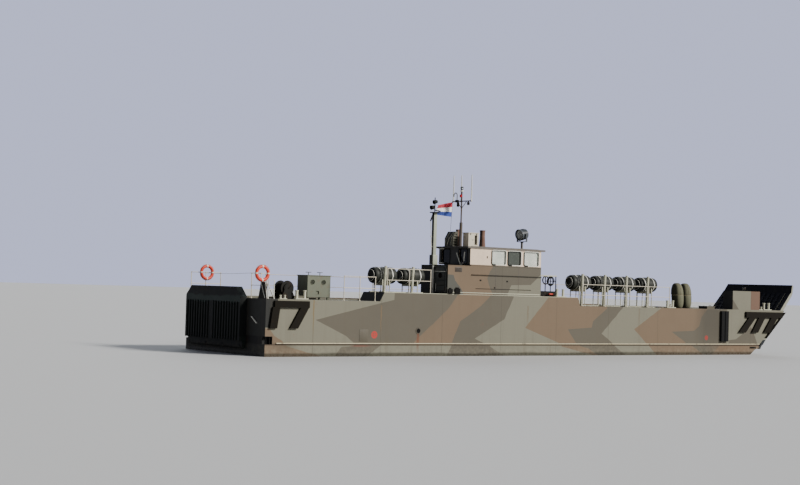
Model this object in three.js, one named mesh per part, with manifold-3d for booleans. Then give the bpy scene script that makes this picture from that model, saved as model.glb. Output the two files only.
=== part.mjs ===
// Drive-through military landing craft with a ramp at each end, in millimetres, +X to the bow, +Y to port,
// +Z up. The origin is on the keel plane under the middle of the overall length. Places along the craft are
// first given from the transom, and the whole group is then moved aft by MID_X.
import * as THREE from "three";
import { mergeVertices } from "three/addons/utils/BufferGeometryUtils.js";
import Module from "manifold-3d";

const wasm = await Module();
wasm.setup();

// Driving dimensions
const OVERALL_LENGTH = 36300;
const HULL_LENGTH = 34300;
const HALF_BEAM = 3425;
const DRAUGHT = 1050;
const STERN_OVERHANG = 350;
const MID_X = OVERALL_LENGTH / 2 - STERN_OVERHANG;
const SEAT = 0.3;
const BURIED = 20;

// Heights above the keel plane
const VEHICLE_DECK_Z = DRAUGHT + 450;
const STRAKE_Z = DRAUGHT + 570;
const WING_DECK_Z = DRAUGHT + 2470;
const RAISED_DECK_Z = DRAUGHT + 2880;
const HOUSE_FLOOR_Z = RAISED_DECK_Z + SEAT;
const BAND_Z = DRAUGHT + 4300;
const ROOF_Z = DRAUGHT + 5070;
const LANE_STARBOARD = -1800;
const LANE_PORT = 2800;
const BOW_STARBOARD = -2730;
const BOW_PORT = 2550;
const LANE_FLARE = [26000, 29800];

// Colours of the finishes
const SAGE = { color: 0x96967f, roughness: 0.7, metalness: 0 };
const BROWN = { color: 0x8c765c, roughness: 0.7, metalness: 0 };
const OLIVE_GREY = { color: 0x6e6b5f, roughness: 0.7, metalness: 0 };
const RUBBER = { color: 0x1b1b1a, roughness: 0.95, metalness: 0 };
const WHITE = { color: 0xd8d8d0, roughness: 0.5, metalness: 0 };
const CREAM = { color: 0xc9c2a6, roughness: 0.6, metalness: 0 };
const NIGHT = { color: 0x20262c, roughness: 0.6, metalness: 0 };
const GLASS = { color: 0xaebfb6, roughness: 0.05, metalness: 0, transparent: true, opacity: 0.4 };
const ORANGE = { color: 0xc8402a, roughness: 0.5, metalness: 0 };
const CANISTER = { color: 0x2c302f, roughness: 0.5, metalness: 0 };
const STEEL = { color: 0x8a8d8c, roughness: 0.4, metalness: 0.8 };

// A closed geometry as a solid.
function solid(geometry) {
  const bare = geometry.clone();
  bare.deleteAttribute("normal");
  bare.deleteAttribute("uv");
  const merged = mergeVertices(bare, 1e-3);
  return new wasm.Manifold(
    new wasm.Mesh({
      numProp: 3,
      vertProperties: new Float32Array(merged.attributes.position.array),
      triVerts: new Uint32Array(merged.index.array),
    }),
  );
}

const join = (...parts) => parts.flat().reduce((all, part) => all.add(part));
const cut = (body, ...tools) => tools.flat().reduce((left, tool) => left.subtract(tool), body);

// A box between two corners.
function box([x0, x1], [y0, y1], [z0, z1]) {
  const shape = new THREE.BoxGeometry(x1 - x0, y1 - y0, z1 - z0);
  return solid(shape.translate((x0 + x1) / 2, (y0 + y1) / 2, (z0 + z1) / 2));
}

// An outline pushed along one axis. Outline points are (x, z) along "y", (y, z) along "x", (x, y) along "z".
const FRAMES = {
  x: [new THREE.Vector3(0, 1, 0), new THREE.Vector3(0, 0, 1), new THREE.Vector3(1, 0, 0)],
  y: [new THREE.Vector3(1, 0, 0), new THREE.Vector3(0, 0, 1), new THREE.Vector3(0, -1, 0)],
  z: [new THREE.Vector3(1, 0, 0), new THREE.Vector3(0, 1, 0), new THREE.Vector3(0, 0, 1)],
};
function push(outline, axis, [from, to]) {
  const shape = outline instanceof THREE.Shape
    ? outline
    : new THREE.Shape(outline.map(([a, b]) => new THREE.Vector2(a, b)));
  const options = { depth: to - from, bevelEnabled: false, curveSegments: 2 };
  const extruded = new THREE.ExtrudeGeometry(shape, options);
  extruded.applyMatrix4(new THREE.Matrix4().makeBasis(...FRAMES[axis]));
  const start = axis === "y" ? to : from;
  return solid(extruded.translate(...["x", "y", "z"].map((name) => (name === axis ? start : 0))));
}

// A round bar from one point to another.
function bar(from, to, radius, sides = 8, topRadius = radius) {
  const start = new THREE.Vector3(...from);
  const run = new THREE.Vector3(...to).sub(start);
  const shape = new THREE.CylinderGeometry(topRadius, radius, run.length(), sides);
  shape.translate(0, run.length() / 2, 0);
  const upright = new THREE.Vector3(0, 1, 0);
  shape.applyQuaternion(new THREE.Quaternion().setFromUnitVectors(upright, run.normalize()));
  return solid(shape.translate(...from));
}

// A body of revolution about a vertical axis, from (radius, height) points that start and end on the axis.
function turned(profile, [x, y, z], sides = 24) {
  const shape = new THREE.LatheGeometry(profile.map(([r, h]) => new THREE.Vector2(r, h)), sides);
  return solid(shape.rotateX(Math.PI / 2).translate(x, y, z));
}

// A rounded rectangle as a shape.
function roundedOutline([a0, a1], [b0, b1], radius) {
  const shape = new THREE.Shape();
  shape.moveTo(a0 + radius, b0);
  shape.lineTo(a1 - radius, b0);
  shape.absarc(a1 - radius, b0 + radius, radius, -Math.PI / 2, 0);
  shape.lineTo(a1, b1 - radius);
  shape.absarc(a1 - radius, b1 - radius, radius, 0, Math.PI / 2);
  shape.lineTo(a0 + radius, b1);
  shape.absarc(a0 + radius, b1 - radius, radius, Math.PI / 2, Math.PI);
  shape.lineTo(a0, b0 + radius);
  shape.absarc(a0 + radius, b0 + radius, radius, Math.PI, 1.5 * Math.PI);
  return shape;
}

const craft = new THREE.Group();
craft.position.x = -MID_X;

function add(name, body, finish) {
  const made = body.getMesh();
  const geometry = new THREE.BufferGeometry();
  geometry.setAttribute("position", new THREE.BufferAttribute(new Float32Array(made.vertProperties), 3));
  geometry.setIndex(new THREE.BufferAttribute(new Uint32Array(made.triVerts), 1));
  geometry.computeVertexNormals();
  const mesh = new THREE.Mesh(geometry, new THREE.MeshStandardMaterial({ ...finish, flatShading: true }));
  mesh.name = name;
  craft.add(mesh);
}

// Hull: a double bottom up to the vehicle deck, and a wing on each side of the lane
const KEEL_AFT = 2500;
const TRANSOM_FOOT = 500;
const BOW_RAKE = [[28900, 0], [30670, 490], [32200, STRAKE_Z], [HULL_LENGTH, WING_DECK_Z]];
const rakeAt = (z) => {
  const upper = BOW_RAKE.findIndex(([, height]) => height >= z);
  const [[x0, z0], [x1, z1]] = [BOW_RAKE[upper - 1], BOW_RAKE[upper]];
  return x0 + ((x1 - x0) * (z - z0)) / (z1 - z0);
};
// The wings stand a little below the vehicle deck, whose plating fills the lane between them
const HULL_JOINT_Z = VEHICLE_DECK_Z - 20;
const wingPlan = (outer, laneY, bowY) => [[0, outer], [HULL_LENGTH, outer], [HULL_LENGTH, bowY],
  [LANE_FLARE[1], bowY], [LANE_FLARE[0], laneY], [0, laneY]];

// Ramp hinges: a round knuckle along each ramp's foot turns on a pin in lugs on the sill
const KNUCKLE = 90;
const PIN = 45;
const PIN_SIDES = 24;
const KNUCKLE_SIDES = 16;
const LUG = { radius: 80, width: 70, hole: (PIN + SEAT) / Math.cos(Math.PI / PIN_SIDES) };
const RUNNING = 10;
const RAMP_HINGE_Z = VEHICLE_DECK_Z - KNUCKLE;
const STERN_HINGE_X = -KNUCKLE - RUNNING;
// The bow ramp's top is a smooth flap that stands nearly upright. Heights in the tables are along the ramp
const FLAP = { from: 4110, length: 480, lean: THREE.MathUtils.degToRad(10) };
const BOW_LEAN = THREE.MathUtils.degToRad(41.3);
const FLAP_TURN = BOW_LEAN - FLAP.lean;
const BOW_HEIGHT = FLAP.from + FLAP.length * Math.cos(FLAP_TURN);
const BOW_RAMP = {
  y: [-2715, 2540],
  half: 60,
  length: BOW_HEIGHT,
  lean: BOW_LEAN,
  edge: [[2540, 0], [2300, 3600], [2260, FLAP.from], [1970, BOW_HEIGHT + 60], [-2655, BOW_HEIGHT + 60],
    [-2715, BOW_HEIGHT - 30], [-2715, 0]],
  rib: { width: 60, pitch: 340, outer: 30, inner: 40, top: FLAP.from - 60 },
  wide: [],
  head: [],
};
const BOW_REACH = FLAP.from * Math.sin(BOW_LEAN) + FLAP.length * Math.sin(FLAP.lean)
  + BOW_RAMP.half * Math.cos(FLAP.lean);
const BOW_HINGE_X = OVERALL_LENGTH - STERN_OVERHANG - BOW_REACH;
const STERN_HEIGHT = DRAUGHT + 2950 - RAMP_HINGE_Z;
const STERN_DEEP = STERN_OVERHANG - 2 * KNUCKLE - RUNNING;
const STERN_RAMP = {
  y: [-1870, 2910],
  half: KNUCKLE,
  length: STERN_HEIGHT,
  lean: 0,
  edge: [[2910, 0], [2910, STERN_HEIGHT - 420], [2440, STERN_HEIGHT], [-1430, STERN_HEIGHT],
    [-1870, STERN_HEIGHT - 420], [-1870, 0]],
  rib: { width: 90, pitch: 230, outer: STERN_DEEP, inner: 0, top: STERN_HEIGHT - 645 },
  wide: [[440, 690]],
  head: [STERN_HEIGHT - 650, STERN_HEIGHT],
};
const LUG_SHARES = [0.04, 0.35, 0.65, 0.96];
const lugPlaces = ({ y: [y0, y1] }) => LUG_SHARES.map((share) => y0 + share * (y1 - y0));

// Lugs that reach out from a sill, each an eye round the pin.
function lugs(ramp, hingeX, sillX) {
  const [near, far] = [Math.min(hingeX, sillX), Math.max(hingeX, sillX)];
  return lugPlaces(ramp).map((y) => {
    const across = [y - LUG.width / 2, y + LUG.width / 2];
    const [start, end] = across.map((edge) => [hingeX, edge, RAMP_HINGE_Z]);
    const eye = bar(start, end, LUG.radius, KNUCKLE_SIDES);
    const arm = box([near, far], across, [RAMP_HINGE_Z - LUG.radius + 5, RAMP_HINGE_Z + 30]);
    const hole = bar(
      [hingeX, across[0] - 5, RAMP_HINGE_Z], [hingeX, across[1] + 5, RAMP_HINGE_Z], LUG.hole, PIN_SIDES,
    );
    return cut(join(eye, arm), hole);
  });
}

// Thruster wells in the flat bottom, each with a turning pump jet flush in it
const JET = { radius: 800, depth: 260, gap: 12 };
const JET_PLACES = [
  ["pump_jet_aft", 5730],
  ["pump_jet_forward", 26400],
];
const jetWell = (x) => bar([x, 0, -5], [x, 0, JET.depth], JET.radius + JET.gap, 32);
const jetStub = (x) => bar([x, 0, JET.depth - 60], [x, 0, JET.depth + BURIED], 180, 16);

const DECK_END_X = 31600;
function hullBottom() {
  const side = [
    [0, TRANSOM_FOOT],
    [KEEL_AFT, 0],
    BOW_RAKE[0],
    BOW_RAKE[1],
    [rakeAt(HULL_JOINT_Z), HULL_JOINT_Z],
    [0, HULL_JOINT_Z],
  ];
  const shell = push(side, "y", [-HALF_BEAM, HALF_BEAM]);
  const plating = push(
    [
      [0, LANE_STARBOARD + SEAT],
      [LANE_FLARE[0], LANE_STARBOARD + SEAT],
      [LANE_FLARE[1], BOW_STARBOARD + SEAT],
      [DECK_END_X, BOW_STARBOARD + SEAT],
      [DECK_END_X, BOW_PORT - SEAT],
      [LANE_FLARE[1], BOW_PORT - SEAT],
      [LANE_FLARE[0], LANE_PORT - SEAT],
      [0, LANE_PORT - SEAT],
    ],
    "z",
    [HULL_JOINT_Z - BURIED, VEHICLE_DECK_Z],
  );
  const sillX = BOW_HINGE_X - KNUCKLE - RUNNING;
  const sillSide = [
    [31500, 1050],
    [sillX - 200, RAMP_HINGE_Z - KNUCKLE],
    [sillX, RAMP_HINGE_Z - KNUCKLE + 60],
    [sillX, VEHICLE_DECK_Z],
    [31500, VEHICLE_DECK_Z],
  ];
  const sill = push(sillSide, "y", [BOW_RAMP.y[0], BOW_RAMP.y[1]]);
  const bowLugs = lugs(BOW_RAMP, BOW_HINGE_X, sillX - BURIED);
  const sternLugs = lugs(STERN_RAMP, STERN_HINGE_X, BURIED);
  const hollowed = cut(join(shell, plating, sill), JET_PLACES.map(([, x]) => jetWell(x)));
  return join(hollowed, JET_PLACES.map(([, x]) => jetStub(x)), bowLugs, sternLugs);
}
add("hull_bottom", hullBottom(), BROWN);

// Each wing is a closed box beside the lane. Its inner face moves outward before the bow ramp.
function wing(sign, laneY, bowY) {
  const outer = sign * HALF_BEAM;
  const plan = wingPlan(outer, laneY, bowY);
  if (sign > 0) plan.reverse();
  const foot = HULL_JOINT_Z + SEAT;
  const column = push(plan, "z", [foot, WING_DECK_Z]);
  const side = [[0, foot], [rakeAt(foot), foot], [rakeAt(STRAKE_Z), STRAKE_Z], [HULL_LENGTH, WING_DECK_Z],
    [0, WING_DECK_Z]];
  return column.intersect(push(side, "y", [-HALF_BEAM, HALF_BEAM]));
}
const MOORING_POCKET = { x: [-10, 360], depth: 240, z: [DRAUGHT + 530, DRAUGHT + 860] };
const HATCHES = [
  ["hatch_aft", 2130, -2320],
  ["hatch_forward", 28300, -2950],
];
const HATCH = { half: 300, coaming: 120, lid: 30, over: 25 };
const coaming = (x, y) => box(
  [x - HATCH.half, x + HATCH.half],
  [y - HATCH.half, y + HATCH.half],
  [WING_DECK_Z - BURIED, WING_DECK_Z + HATCH.coaming],
);
const pocket = (sign) => box(
  MOORING_POCKET.x,
  sign < 0
    ? [-HALF_BEAM - 10, -HALF_BEAM + MOORING_POCKET.depth]
    : [HALF_BEAM - MOORING_POCKET.depth, HALF_BEAM + 10],
  MOORING_POCKET.z,
);
// Raised deck on the starboard wing, under the wheelhouse
const RAISED = { foot: [6000, 18370], top: [6230, 18230] };
const raisedSide = [
  [RAISED.foot[0], WING_DECK_Z + SEAT],
  [RAISED.foot[1], WING_DECK_Z + SEAT],
  [RAISED.top[1], RAISED_DECK_Z],
  [RAISED.top[0], RAISED_DECK_Z],
];
add("raised_deck", push(raisedSide, "y", [-HALF_BEAM, LANE_STARBOARD]), OLIVE_GREY);

// Winch house on the starboard bow
const BOW_HOUSE = { x: [29870, 32130], y: [-HALF_BEAM, -2745], z: [WING_DECK_Z + SEAT, DRAUGHT + 3490] };
add("bow_winch_house", box(BOW_HOUSE.x, BOW_HOUSE.y, BOW_HOUSE.z), SAGE);

// Rubbing strakes, welded to the wings, and rubber fenders, on both sides
const STRAKE = { x: [560, 32120], deep: 55, half: 38 };
const FENDER_DEEP = 110;
const sideSpan = (sign, deep) => sign < 0
  ? [-HALF_BEAM - deep, -HALF_BEAM - SEAT]
  : [HALF_BEAM + SEAT, HALF_BEAM + deep];
function strake(sign) {
  const inner = sign * (HALF_BEAM - BURIED);
  const outer = sign * (HALF_BEAM + STRAKE.deep);
  const section = [
    [inner, STRAKE_Z - STRAKE.half],
    [outer, STRAKE_Z - STRAKE.half / 2],
    [outer, STRAKE_Z + STRAKE.half / 2],
    [inner, STRAKE_Z + STRAKE.half],
  ];
  if (sign < 0) section.reverse();
  return push(section, "x", STRAKE.x);
}
// Legs of the fender combs: foot and head along the craft, with the width of each
const STERN_BAR = { x: [390, 2160], z: [DRAUGHT + 2110, DRAUGHT + 2400] };
const BOW_BAR = { x: [30910, 34000], z: [DRAUGHT + 2050, DRAUGHT + 2360] };
const STERN_LEGS = [[170, 300, 360], [1180, 1720, 410]];
const BOW_LEGS = [[30320, 31180, 560], [31400, 32000, 520], [32400, 33060, 520]];
const NOSE_FENDER = { foot: DRAUGHT + 900, thick: 110, inner: 2760, clear: SEAT + 0.3 };
const LEG_FOOT_Z = DRAUGHT + 1220;
function comb(sign, barBox, legs) {
  const across = sideSpan(sign, FENDER_DEEP);
  const legBodies = legs.map(([foot, head, width]) => push(
    [
      [foot, LEG_FOOT_Z],
      [foot + width, LEG_FOOT_Z],
      [head + width, barBox.z[0] + BURIED],
      [head, barBox.z[0] + BURIED],
    ],
    "y",
    across,
  ));
  return join(box(barBox.x, across, barBox.z), legBodies);
}
// The bow comb's last leg wraps round the nose of the wing and follows its rake.
function noseFender(sign) {
  const { foot, thick, inner, clear } = NOSE_FENDER;
  const head = BOW_BAR.z[1];
  const outline = [
    [rakeAt(foot) + clear, foot],
    [rakeAt(foot) + thick, foot],
    [rakeAt(head) + thick, head],
    [rakeAt(head) + clear, head],
  ];
  const across = [-HALF_BEAM - FENDER_DEEP, -inner];
  return push(outline, "y", sign < 0 ? across : [-across[1], -across[0]]);
}
const POST_FENDER = { x: [28870, 29430], z: [DRAUGHT + 730, DRAUGHT + 2370], groove: 60 };
function postFender(sign) {
  const across = sideSpan(sign, FENDER_DEEP + 20);
  const middle = (POST_FENDER.x[0] + POST_FENDER.x[1]) / 2;
  const outer = sign < 0 ? [across[0] - 10, across[0] + 60] : [across[1] - 60, across[1] + 10];
  const groove = box([middle - POST_FENDER.groove / 2, middle + POST_FENDER.groove / 2], outer,
    [POST_FENDER.z[0] - 10, POST_FENDER.z[1] + 10]);
  return cut(box(POST_FENDER.x, across, POST_FENDER.z), groove);
}
for (const [side, sign] of [["starboard", -1], ["port", 1]]) {
  add("stern_fender_" + side, comb(sign, STERN_BAR, STERN_LEGS), RUBBER);
  add("bow_fender_" + side, join(comb(sign, BOW_BAR, BOW_LEGS), noseFender(sign)), RUBBER);
  add("post_fender_" + side, postFender(sign), RUBBER);
}

// Ramps, drawn upright on their hinge with the inner face towards -x, then leaned and set on the hinge
const RIB = { foot: 260, beam: 120, side: 60 };
// The side outline of the bow ramp's plate, bent towards the lane where its flap begins
function bentSide({ half }) {
  const mitre = half * Math.tan(FLAP_TURN / 2);
  const tip = [-FLAP.length * Math.sin(FLAP_TURN), BOW_HEIGHT];
  const out = [half * Math.cos(FLAP_TURN), half * Math.sin(FLAP_TURN)];
  return [
    [-half, 0],
    [half, 0],
    [half, FLAP.from + mitre],
    [tip[0] + out[0], tip[1] + out[1]],
    [tip[0] - out[0], tip[1] - out[1]],
    [-half, FLAP.from - mitre],
  ];
}
const flatSide = ({ half, length }) => [[-half, 0], [half, 0], [half, length], [-half, length]];
function ramp({ y: [y0, y1], half, lean, edge, rib, wide, head }, side, hingeX, turn) {
  const plate = push(side, "y", [y0, y1]).intersect(push(edge, "x", [-500, 500]));
  const envelope = push(edge, "x", [-half - rib.inner, half + rib.outer]);
  const knuckle = bar([0, y0, 0], [0, y1, 0], KNUCKLE, KNUCKLE_SIDES);
  const count = Math.floor((y1 - y0 - 2 * rib.width) / rib.pitch) + 1;
  const first = (y0 + y1) / 2 - ((count - 1) * rib.pitch) / 2;
  const spans = [
    ...Array.from({ length: count }, (_, i) => first + i * rib.pitch)
      .map((y) => [y - rib.width / 2, y + rib.width / 2]),
    [y0, y0 + RIB.side],
    [edge[1][0] - 2 * RIB.side, y1],
    ...wide,
  ];
  const ribs = spans.map((span) => box([-half - rib.inner, half + rib.outer], span, [RIB.foot, rib.top]));
  const beams = [RIB.foot, rib.top - RIB.beam].map((z) => box(
    [half - BURIED, half + rib.outer * 0.7], [y0, y1], [z, z + RIB.beam],
  ));
  const heads = head.length ? [box([half - BURIED, half + rib.outer], [y0, y1], head)] : [];
  const stiffened = join(ribs, beams, heads).intersect(envelope);
  const slots = lugPlaces({ y: [y0, y1] }).map((y) => box(
    [-KNUCKLE - 5, KNUCKLE + 5], [y - LUG.width / 2 - RUNNING, y + LUG.width / 2 + RUNNING],
    [-KNUCKLE - 5, LUG.radius + RUNNING],
  ));
  const pin = bar([0, y0, 0], [0, y1, 0], PIN, PIN_SIDES);
  return join(cut(join(plate, knuckle, stiffened), slots), pin)
    .transform(new THREE.Matrix4().makeRotationZ(turn).elements)
    .transform(new THREE.Matrix4().makeRotationY(lean).elements)
    .translate([hingeX, 0, RAMP_HINGE_Z]);
}
// The stern ramp is drawn mirrored across the craft, because it is then turned half round
const mirrored = (spans) => spans.map(([from, to]) => [-to, -from]);
const SWAPPED_STERN = {
  ...STERN_RAMP,
  y: mirrored([STERN_RAMP.y])[0],
  edge: STERN_RAMP.edge.map(([y, z]) => [-y, z]).reverse(),
  wide: mirrored(STERN_RAMP.wide),
};
add("bow_ramp", ramp(BOW_RAMP, bentSide(BOW_RAMP), BOW_HINGE_X, 0), NIGHT);
add("stern_ramp", ramp(SWAPPED_STERN, flatSide(STERN_RAMP), STERN_HINGE_X, Math.PI), NIGHT);

// Pump jets
function pumpJet(x) {
  const disc = bar([x, 0, 6], [x, 0, JET.depth - 60 - SEAT], JET.radius, 32);
  const outlet = box([x - 620, x - 60], [-380, 380], [-1, 150]);
  return cut(disc, outlet);
}
for (const [name, x] of JET_PLACES) add(name, pumpJet(x), STEEL);

// Wheelhouse on the raised deck, with a low house behind it
const WALL = 60;
const HOUSE = { x: [11230, 15690], y: [-HALF_BEAM, -1400] };
const BAND = { x: [11180, 15660], y: [-HALF_BEAM, -1050] };
const AFT_HOUSE = { x: [9850, HOUSE.x[0] - SEAT], y: HOUSE.y, z: [HOUSE_FLOOR_Z, BAND_Z - 60] };
const DOOR = { y: [-3330, -2480], z: [HOUSE_FLOOR_Z + 90, BAND_Z - 120], thick: 50 };
const PASSAGE = { y: [-3250, -2550], z: [HOUSE_FLOOR_Z + WALL, BAND_Z - 150] };
const inside = ([a, b], wall = WALL) => [a + wall, b - wall];

function lowerWalls() {
  const shell = box(HOUSE.x, HOUSE.y, [HOUSE_FLOOR_Z, BAND_Z]);
  const room = box(inside(HOUSE.x), inside(HOUSE.y), [HOUSE_FLOOR_Z + WALL, BAND_Z + 10]);
  const passage = box([HOUSE.x[0] - 10, HOUSE.x[0] + WALL + 10], PASSAGE.y, PASSAGE.z);
  return cut(shell, room, passage);
}
add("wheelhouse_lower_walls", lowerWalls(), BROWN);

// Windows: first and last place along their wall, at one height
const WINDOW_Z = [DRAUGHT + 4335, DRAUGHT + 5035];
const WINDOW_CORNER = 90;
const LEDGE = 30;
const SIDE_WINDOWS = [[12510, 13400], [13530, 14370], [14560, 15520]];
const FRONT_WINDOWS = [[-3330, -2640], [-2560, -1890], [-1810, -1150]];
const AFT_WINDOWS = [[-3200, -2550], [-1900, -1250]];
const PANE = 12;

function windowBand() {
  const shell = box(BAND.x, BAND.y, [BAND_Z + SEAT, ROOF_Z]);
  const room = box(inside(BAND.x), inside(BAND.y), [BAND_Z + SEAT + LEDGE, ROOF_Z + 10]);
  const well = box(inside(HOUSE.x), inside(HOUSE.y), [BAND_Z - 10, BAND_Z + WALL + 20]);
  const openings = [
    ...SIDE_WINDOWS.map((x) => push(roundedOutline(x, WINDOW_Z, WINDOW_CORNER), "y",
      [-HALF_BEAM - 10, BAND.y[1] + 10])),
    ...FRONT_WINDOWS.map((y) => push(roundedOutline(y, WINDOW_Z, WINDOW_CORNER), "x",
      [BAND.x[1] - WALL - 10, BAND.x[1] + 10])),
    ...AFT_WINDOWS.map((y) => push(roundedOutline(y, WINDOW_Z, WINDOW_CORNER), "x",
      [BAND.x[0] - 10, BAND.x[0] + WALL + 10])),
  ];
  return cut(shell, room, well, openings);
}
add("wheelhouse_window_band", windowBand(), CREAM);

// Glazing: one strip of toughened glass inside each wall, behind its window openings
const GLAZING_EDGE = 25;
const GLAZING_Z = [BAND_Z + LEDGE + 2 * SEAT, WINDOW_Z[1] + GLAZING_EDGE];
const glazed = (windows) => [windows[0][0] - GLAZING_EDGE, windows.at(-1)[1] + GLAZING_EDGE];
const against = (face, sign) => sign > 0
  ? [face - WALL - SEAT - PANE, face - WALL - SEAT]
  : [face + WALL + SEAT, face + WALL + SEAT + PANE];
add("glass_starboard", box(glazed(SIDE_WINDOWS), against(BAND.y[0], -1), GLAZING_Z), GLASS);
add("glass_port", box(glazed(SIDE_WINDOWS), against(BAND.y[1], 1), GLAZING_Z), GLASS);
add("glass_front", box(against(BAND.x[1], 1), glazed(FRONT_WINDOWS), GLAZING_Z), GLASS);
add("glass_aft", box(against(BAND.x[0], -1), glazed(AFT_WINDOWS), GLAZING_Z), GLASS);

const ROOF = { x: [11000, 15900], y: [-3470, -1000], thick: 75 };
const ROOF_TOP = ROOF_Z + SEAT + ROOF.thick;

// Small hinges: a barrel on the moving piece turns on a pin held at both ends by the carrier
const SMALL_PIN = 9;
const BARREL = 18;
const SMALL_SIDES = 12;
const BARREL_HOLE = (SMALL_PIN + SEAT) / Math.cos(Math.PI / SMALL_SIDES);
const EAR = 12;
const along = (point, axis, value) => point.map((at, i) => (i === "xyz".indexOf(axis) ? value : at));
function barrel(at, axis, [from, to]) {
  const body = bar(along(at, axis, from), along(at, axis, to), BARREL, SMALL_SIDES);
  return cut(body, bar(along(at, axis, from - 5), along(at, axis, to + 5), BARREL_HOLE, SMALL_SIDES));
}
function pinWithEars(at, axis, [from, to], reach) {
  const pin = bar(along(at, axis, from - EAR), along(at, axis, to + EAR), SMALL_PIN, SMALL_SIDES);
  const ears = [[from - 1 - EAR, from - 1], [to + 1, to + 1 + EAR]].map((span) => {
    const low = at.map((value, i) => value + Math.min(reach[i], 0) - (reach[i] > 0 ? SMALL_PIN + 4 : 0));
    const high = at.map((value, i) => value + Math.max(reach[i], 0) + (reach[i] < 0 ? SMALL_PIN + 4 : 0));
    const spans = low.map((value, i) => (reach[i] === 0 ? [value - SMALL_PIN - 4, value + SMALL_PIN + 4]
      : [value, high[i]]));
    spans["xyz".indexOf(axis)] = span;
    return box(...spans);
  });
  return join(pin, ears);
}

// Door of the low house, hinged along its starboard edge
const DOOR_GAP = 6;
const DOOR_HINGE = [AFT_HOUSE.x[0] - DOOR_GAP - DOOR.thick / 2, DOOR.y[0] - 24, 0];
const DOOR_BARRELS = [[HOUSE_FLOOR_Z + 230, HOUSE_FLOOR_Z + 330], [BAND_Z - 360, BAND_Z - 260]];
function door() {
  const back = AFT_HOUSE.x[0] - DOOR_GAP;
  const leaf = box([back - DOOR.thick, back], DOOR.y, DOOR.z);
  const grip = [back - DOOR.thick - 60, DOOR.y[1] - 110];
  const handle = bar([...grip, 4500], [...grip, 4700], 14);
  const feet = [4520, 4680].map((z) => bar([...grip, z], [back - DOOR.thick + 5, grip[1], z], 11));
  const knuckles = DOOR_BARRELS.map((span) => join(
    barrel(DOOR_HINGE, "z", span),
    box([DOOR_HINGE[0] - 8, DOOR_HINGE[0] + 8], [DOOR_HINGE[1] + 13, DOOR.y[0] + 10], span),
  ));
  return join(leaf, handle, feet, knuckles);
}
add("aft_house_door", door(), NIGHT);

function aftHouse() {
  const shell = box(AFT_HOUSE.x, AFT_HOUSE.y, AFT_HOUSE.z);
  const room = box([AFT_HOUSE.x[0] + WALL, AFT_HOUSE.x[1] + 10], inside(AFT_HOUSE.y),
    [AFT_HOUSE.z[0] + WALL, AFT_HOUSE.z[1] - WALL]);
  const wall = [AFT_HOUSE.x[0] - 10, AFT_HOUSE.x[0] + WALL + 10];
  const doorway = box(wall, inside(DOOR.y, 20), inside(DOOR.z, 20));
  const reach = [AFT_HOUSE.x[0] - DOOR_HINGE[0] + 10, 0, 0];
  const ears = DOOR_BARRELS.map((span) => pinWithEars(DOOR_HINGE, "z", span, reach));
  return join(cut(shell, room, doorway), ears);
}
add("aft_house", aftHouse(), OLIVE_GREY);

// Roof with the searchlight's pedestal and two upright exhaust trunks: middle, radius and top of each
const TRUNKS = [
  [11660, -1840, 80, DRAUGHT + 5990],
  [12560, -2620, 122, DRAUGHT + 5980],
];
const LIGHT = { x: 15300, y: -2400, z: DRAUGHT + 5910, radius: 290, length: 400, fork: 24, dip: 42 };
const PEDESTAL_TOP = LIGHT.z - LIGHT.radius - 110;
function roof() {
  const slab = box(ROOF.x, ROOF.y, [ROOF_Z + SEAT, ROOF_TOP]);
  const foot = bar([LIGHT.x, LIGHT.y, ROOF_TOP - BURIED], [LIGHT.x, LIGHT.y, ROOF_TOP + 60], 130, 16);
  const stem = bar([LIGHT.x, LIGHT.y, ROOF_TOP], [LIGHT.x, LIGHT.y, PEDESTAL_TOP], 55, 16);
  const trunks = TRUNKS.map(([x, y, radius, top]) => join(
    bar([x, y, ROOF_TOP - BURIED], [x, y, top], radius, 20),
    bar([x, y, ROOF_TOP - BURIED], [x, y, ROOF_TOP + 40], radius + 35, 20),
    bar([x, y, top - 60], [x, y, top - 10], radius + 12, 20),
  ));
  return join(slab, foot, stem, trunks);
}
add("wheelhouse_roof", roof(), SAGE);

// Searchlight: a drum in a fork, facing aft and a little down
function searchlight() {
  const base = bar([LIGHT.x, LIGHT.y, PEDESTAL_TOP + SEAT], [LIGHT.x, LIGHT.y, PEDESTAL_TOP + 50], 90, 16);
  const half = LIGHT.radius + 35;
  const yoke = box([LIGHT.x - 45, LIGHT.x + 45], [LIGHT.y - half - LIGHT.fork, LIGHT.y + half + LIGHT.fork],
    [PEDESTAL_TOP + 30, PEDESTAL_TOP + 60]);
  const arms = [-1, 1].map((side) => box(
    [LIGHT.x - 45, LIGHT.x + 45],
    side < 0 ? [LIGHT.y - half - LIGHT.fork, LIGHT.y - half] : [LIGHT.y + half, LIGHT.y + half + LIGHT.fork],
    [PEDESTAL_TOP + 30, LIGHT.z + 45],
  ));
  const onAxis = (share) => [LIGHT.x + (share * LIGHT.length) / 2, LIGHT.y, LIGHT.z + share * LIGHT.dip];
  const drum = bar(onAxis(1), onAxis(-1), LIGHT.radius * 0.86, 24, LIGHT.radius);
  const mouth = bar(onAxis(-0.55), onAxis(-1.03), LIGHT.radius - 60, 24, LIGHT.radius - 18);
  const trunnion = bar([LIGHT.x, LIGHT.y - half - 5, LIGHT.z], [LIGHT.x, LIGHT.y + half + 5, LIGHT.z], 25, 8);
  return join(cut(join(drum, trunnion), mouth), base, yoke, arms);
}
add("searchlight", searchlight(), NIGHT);

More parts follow.
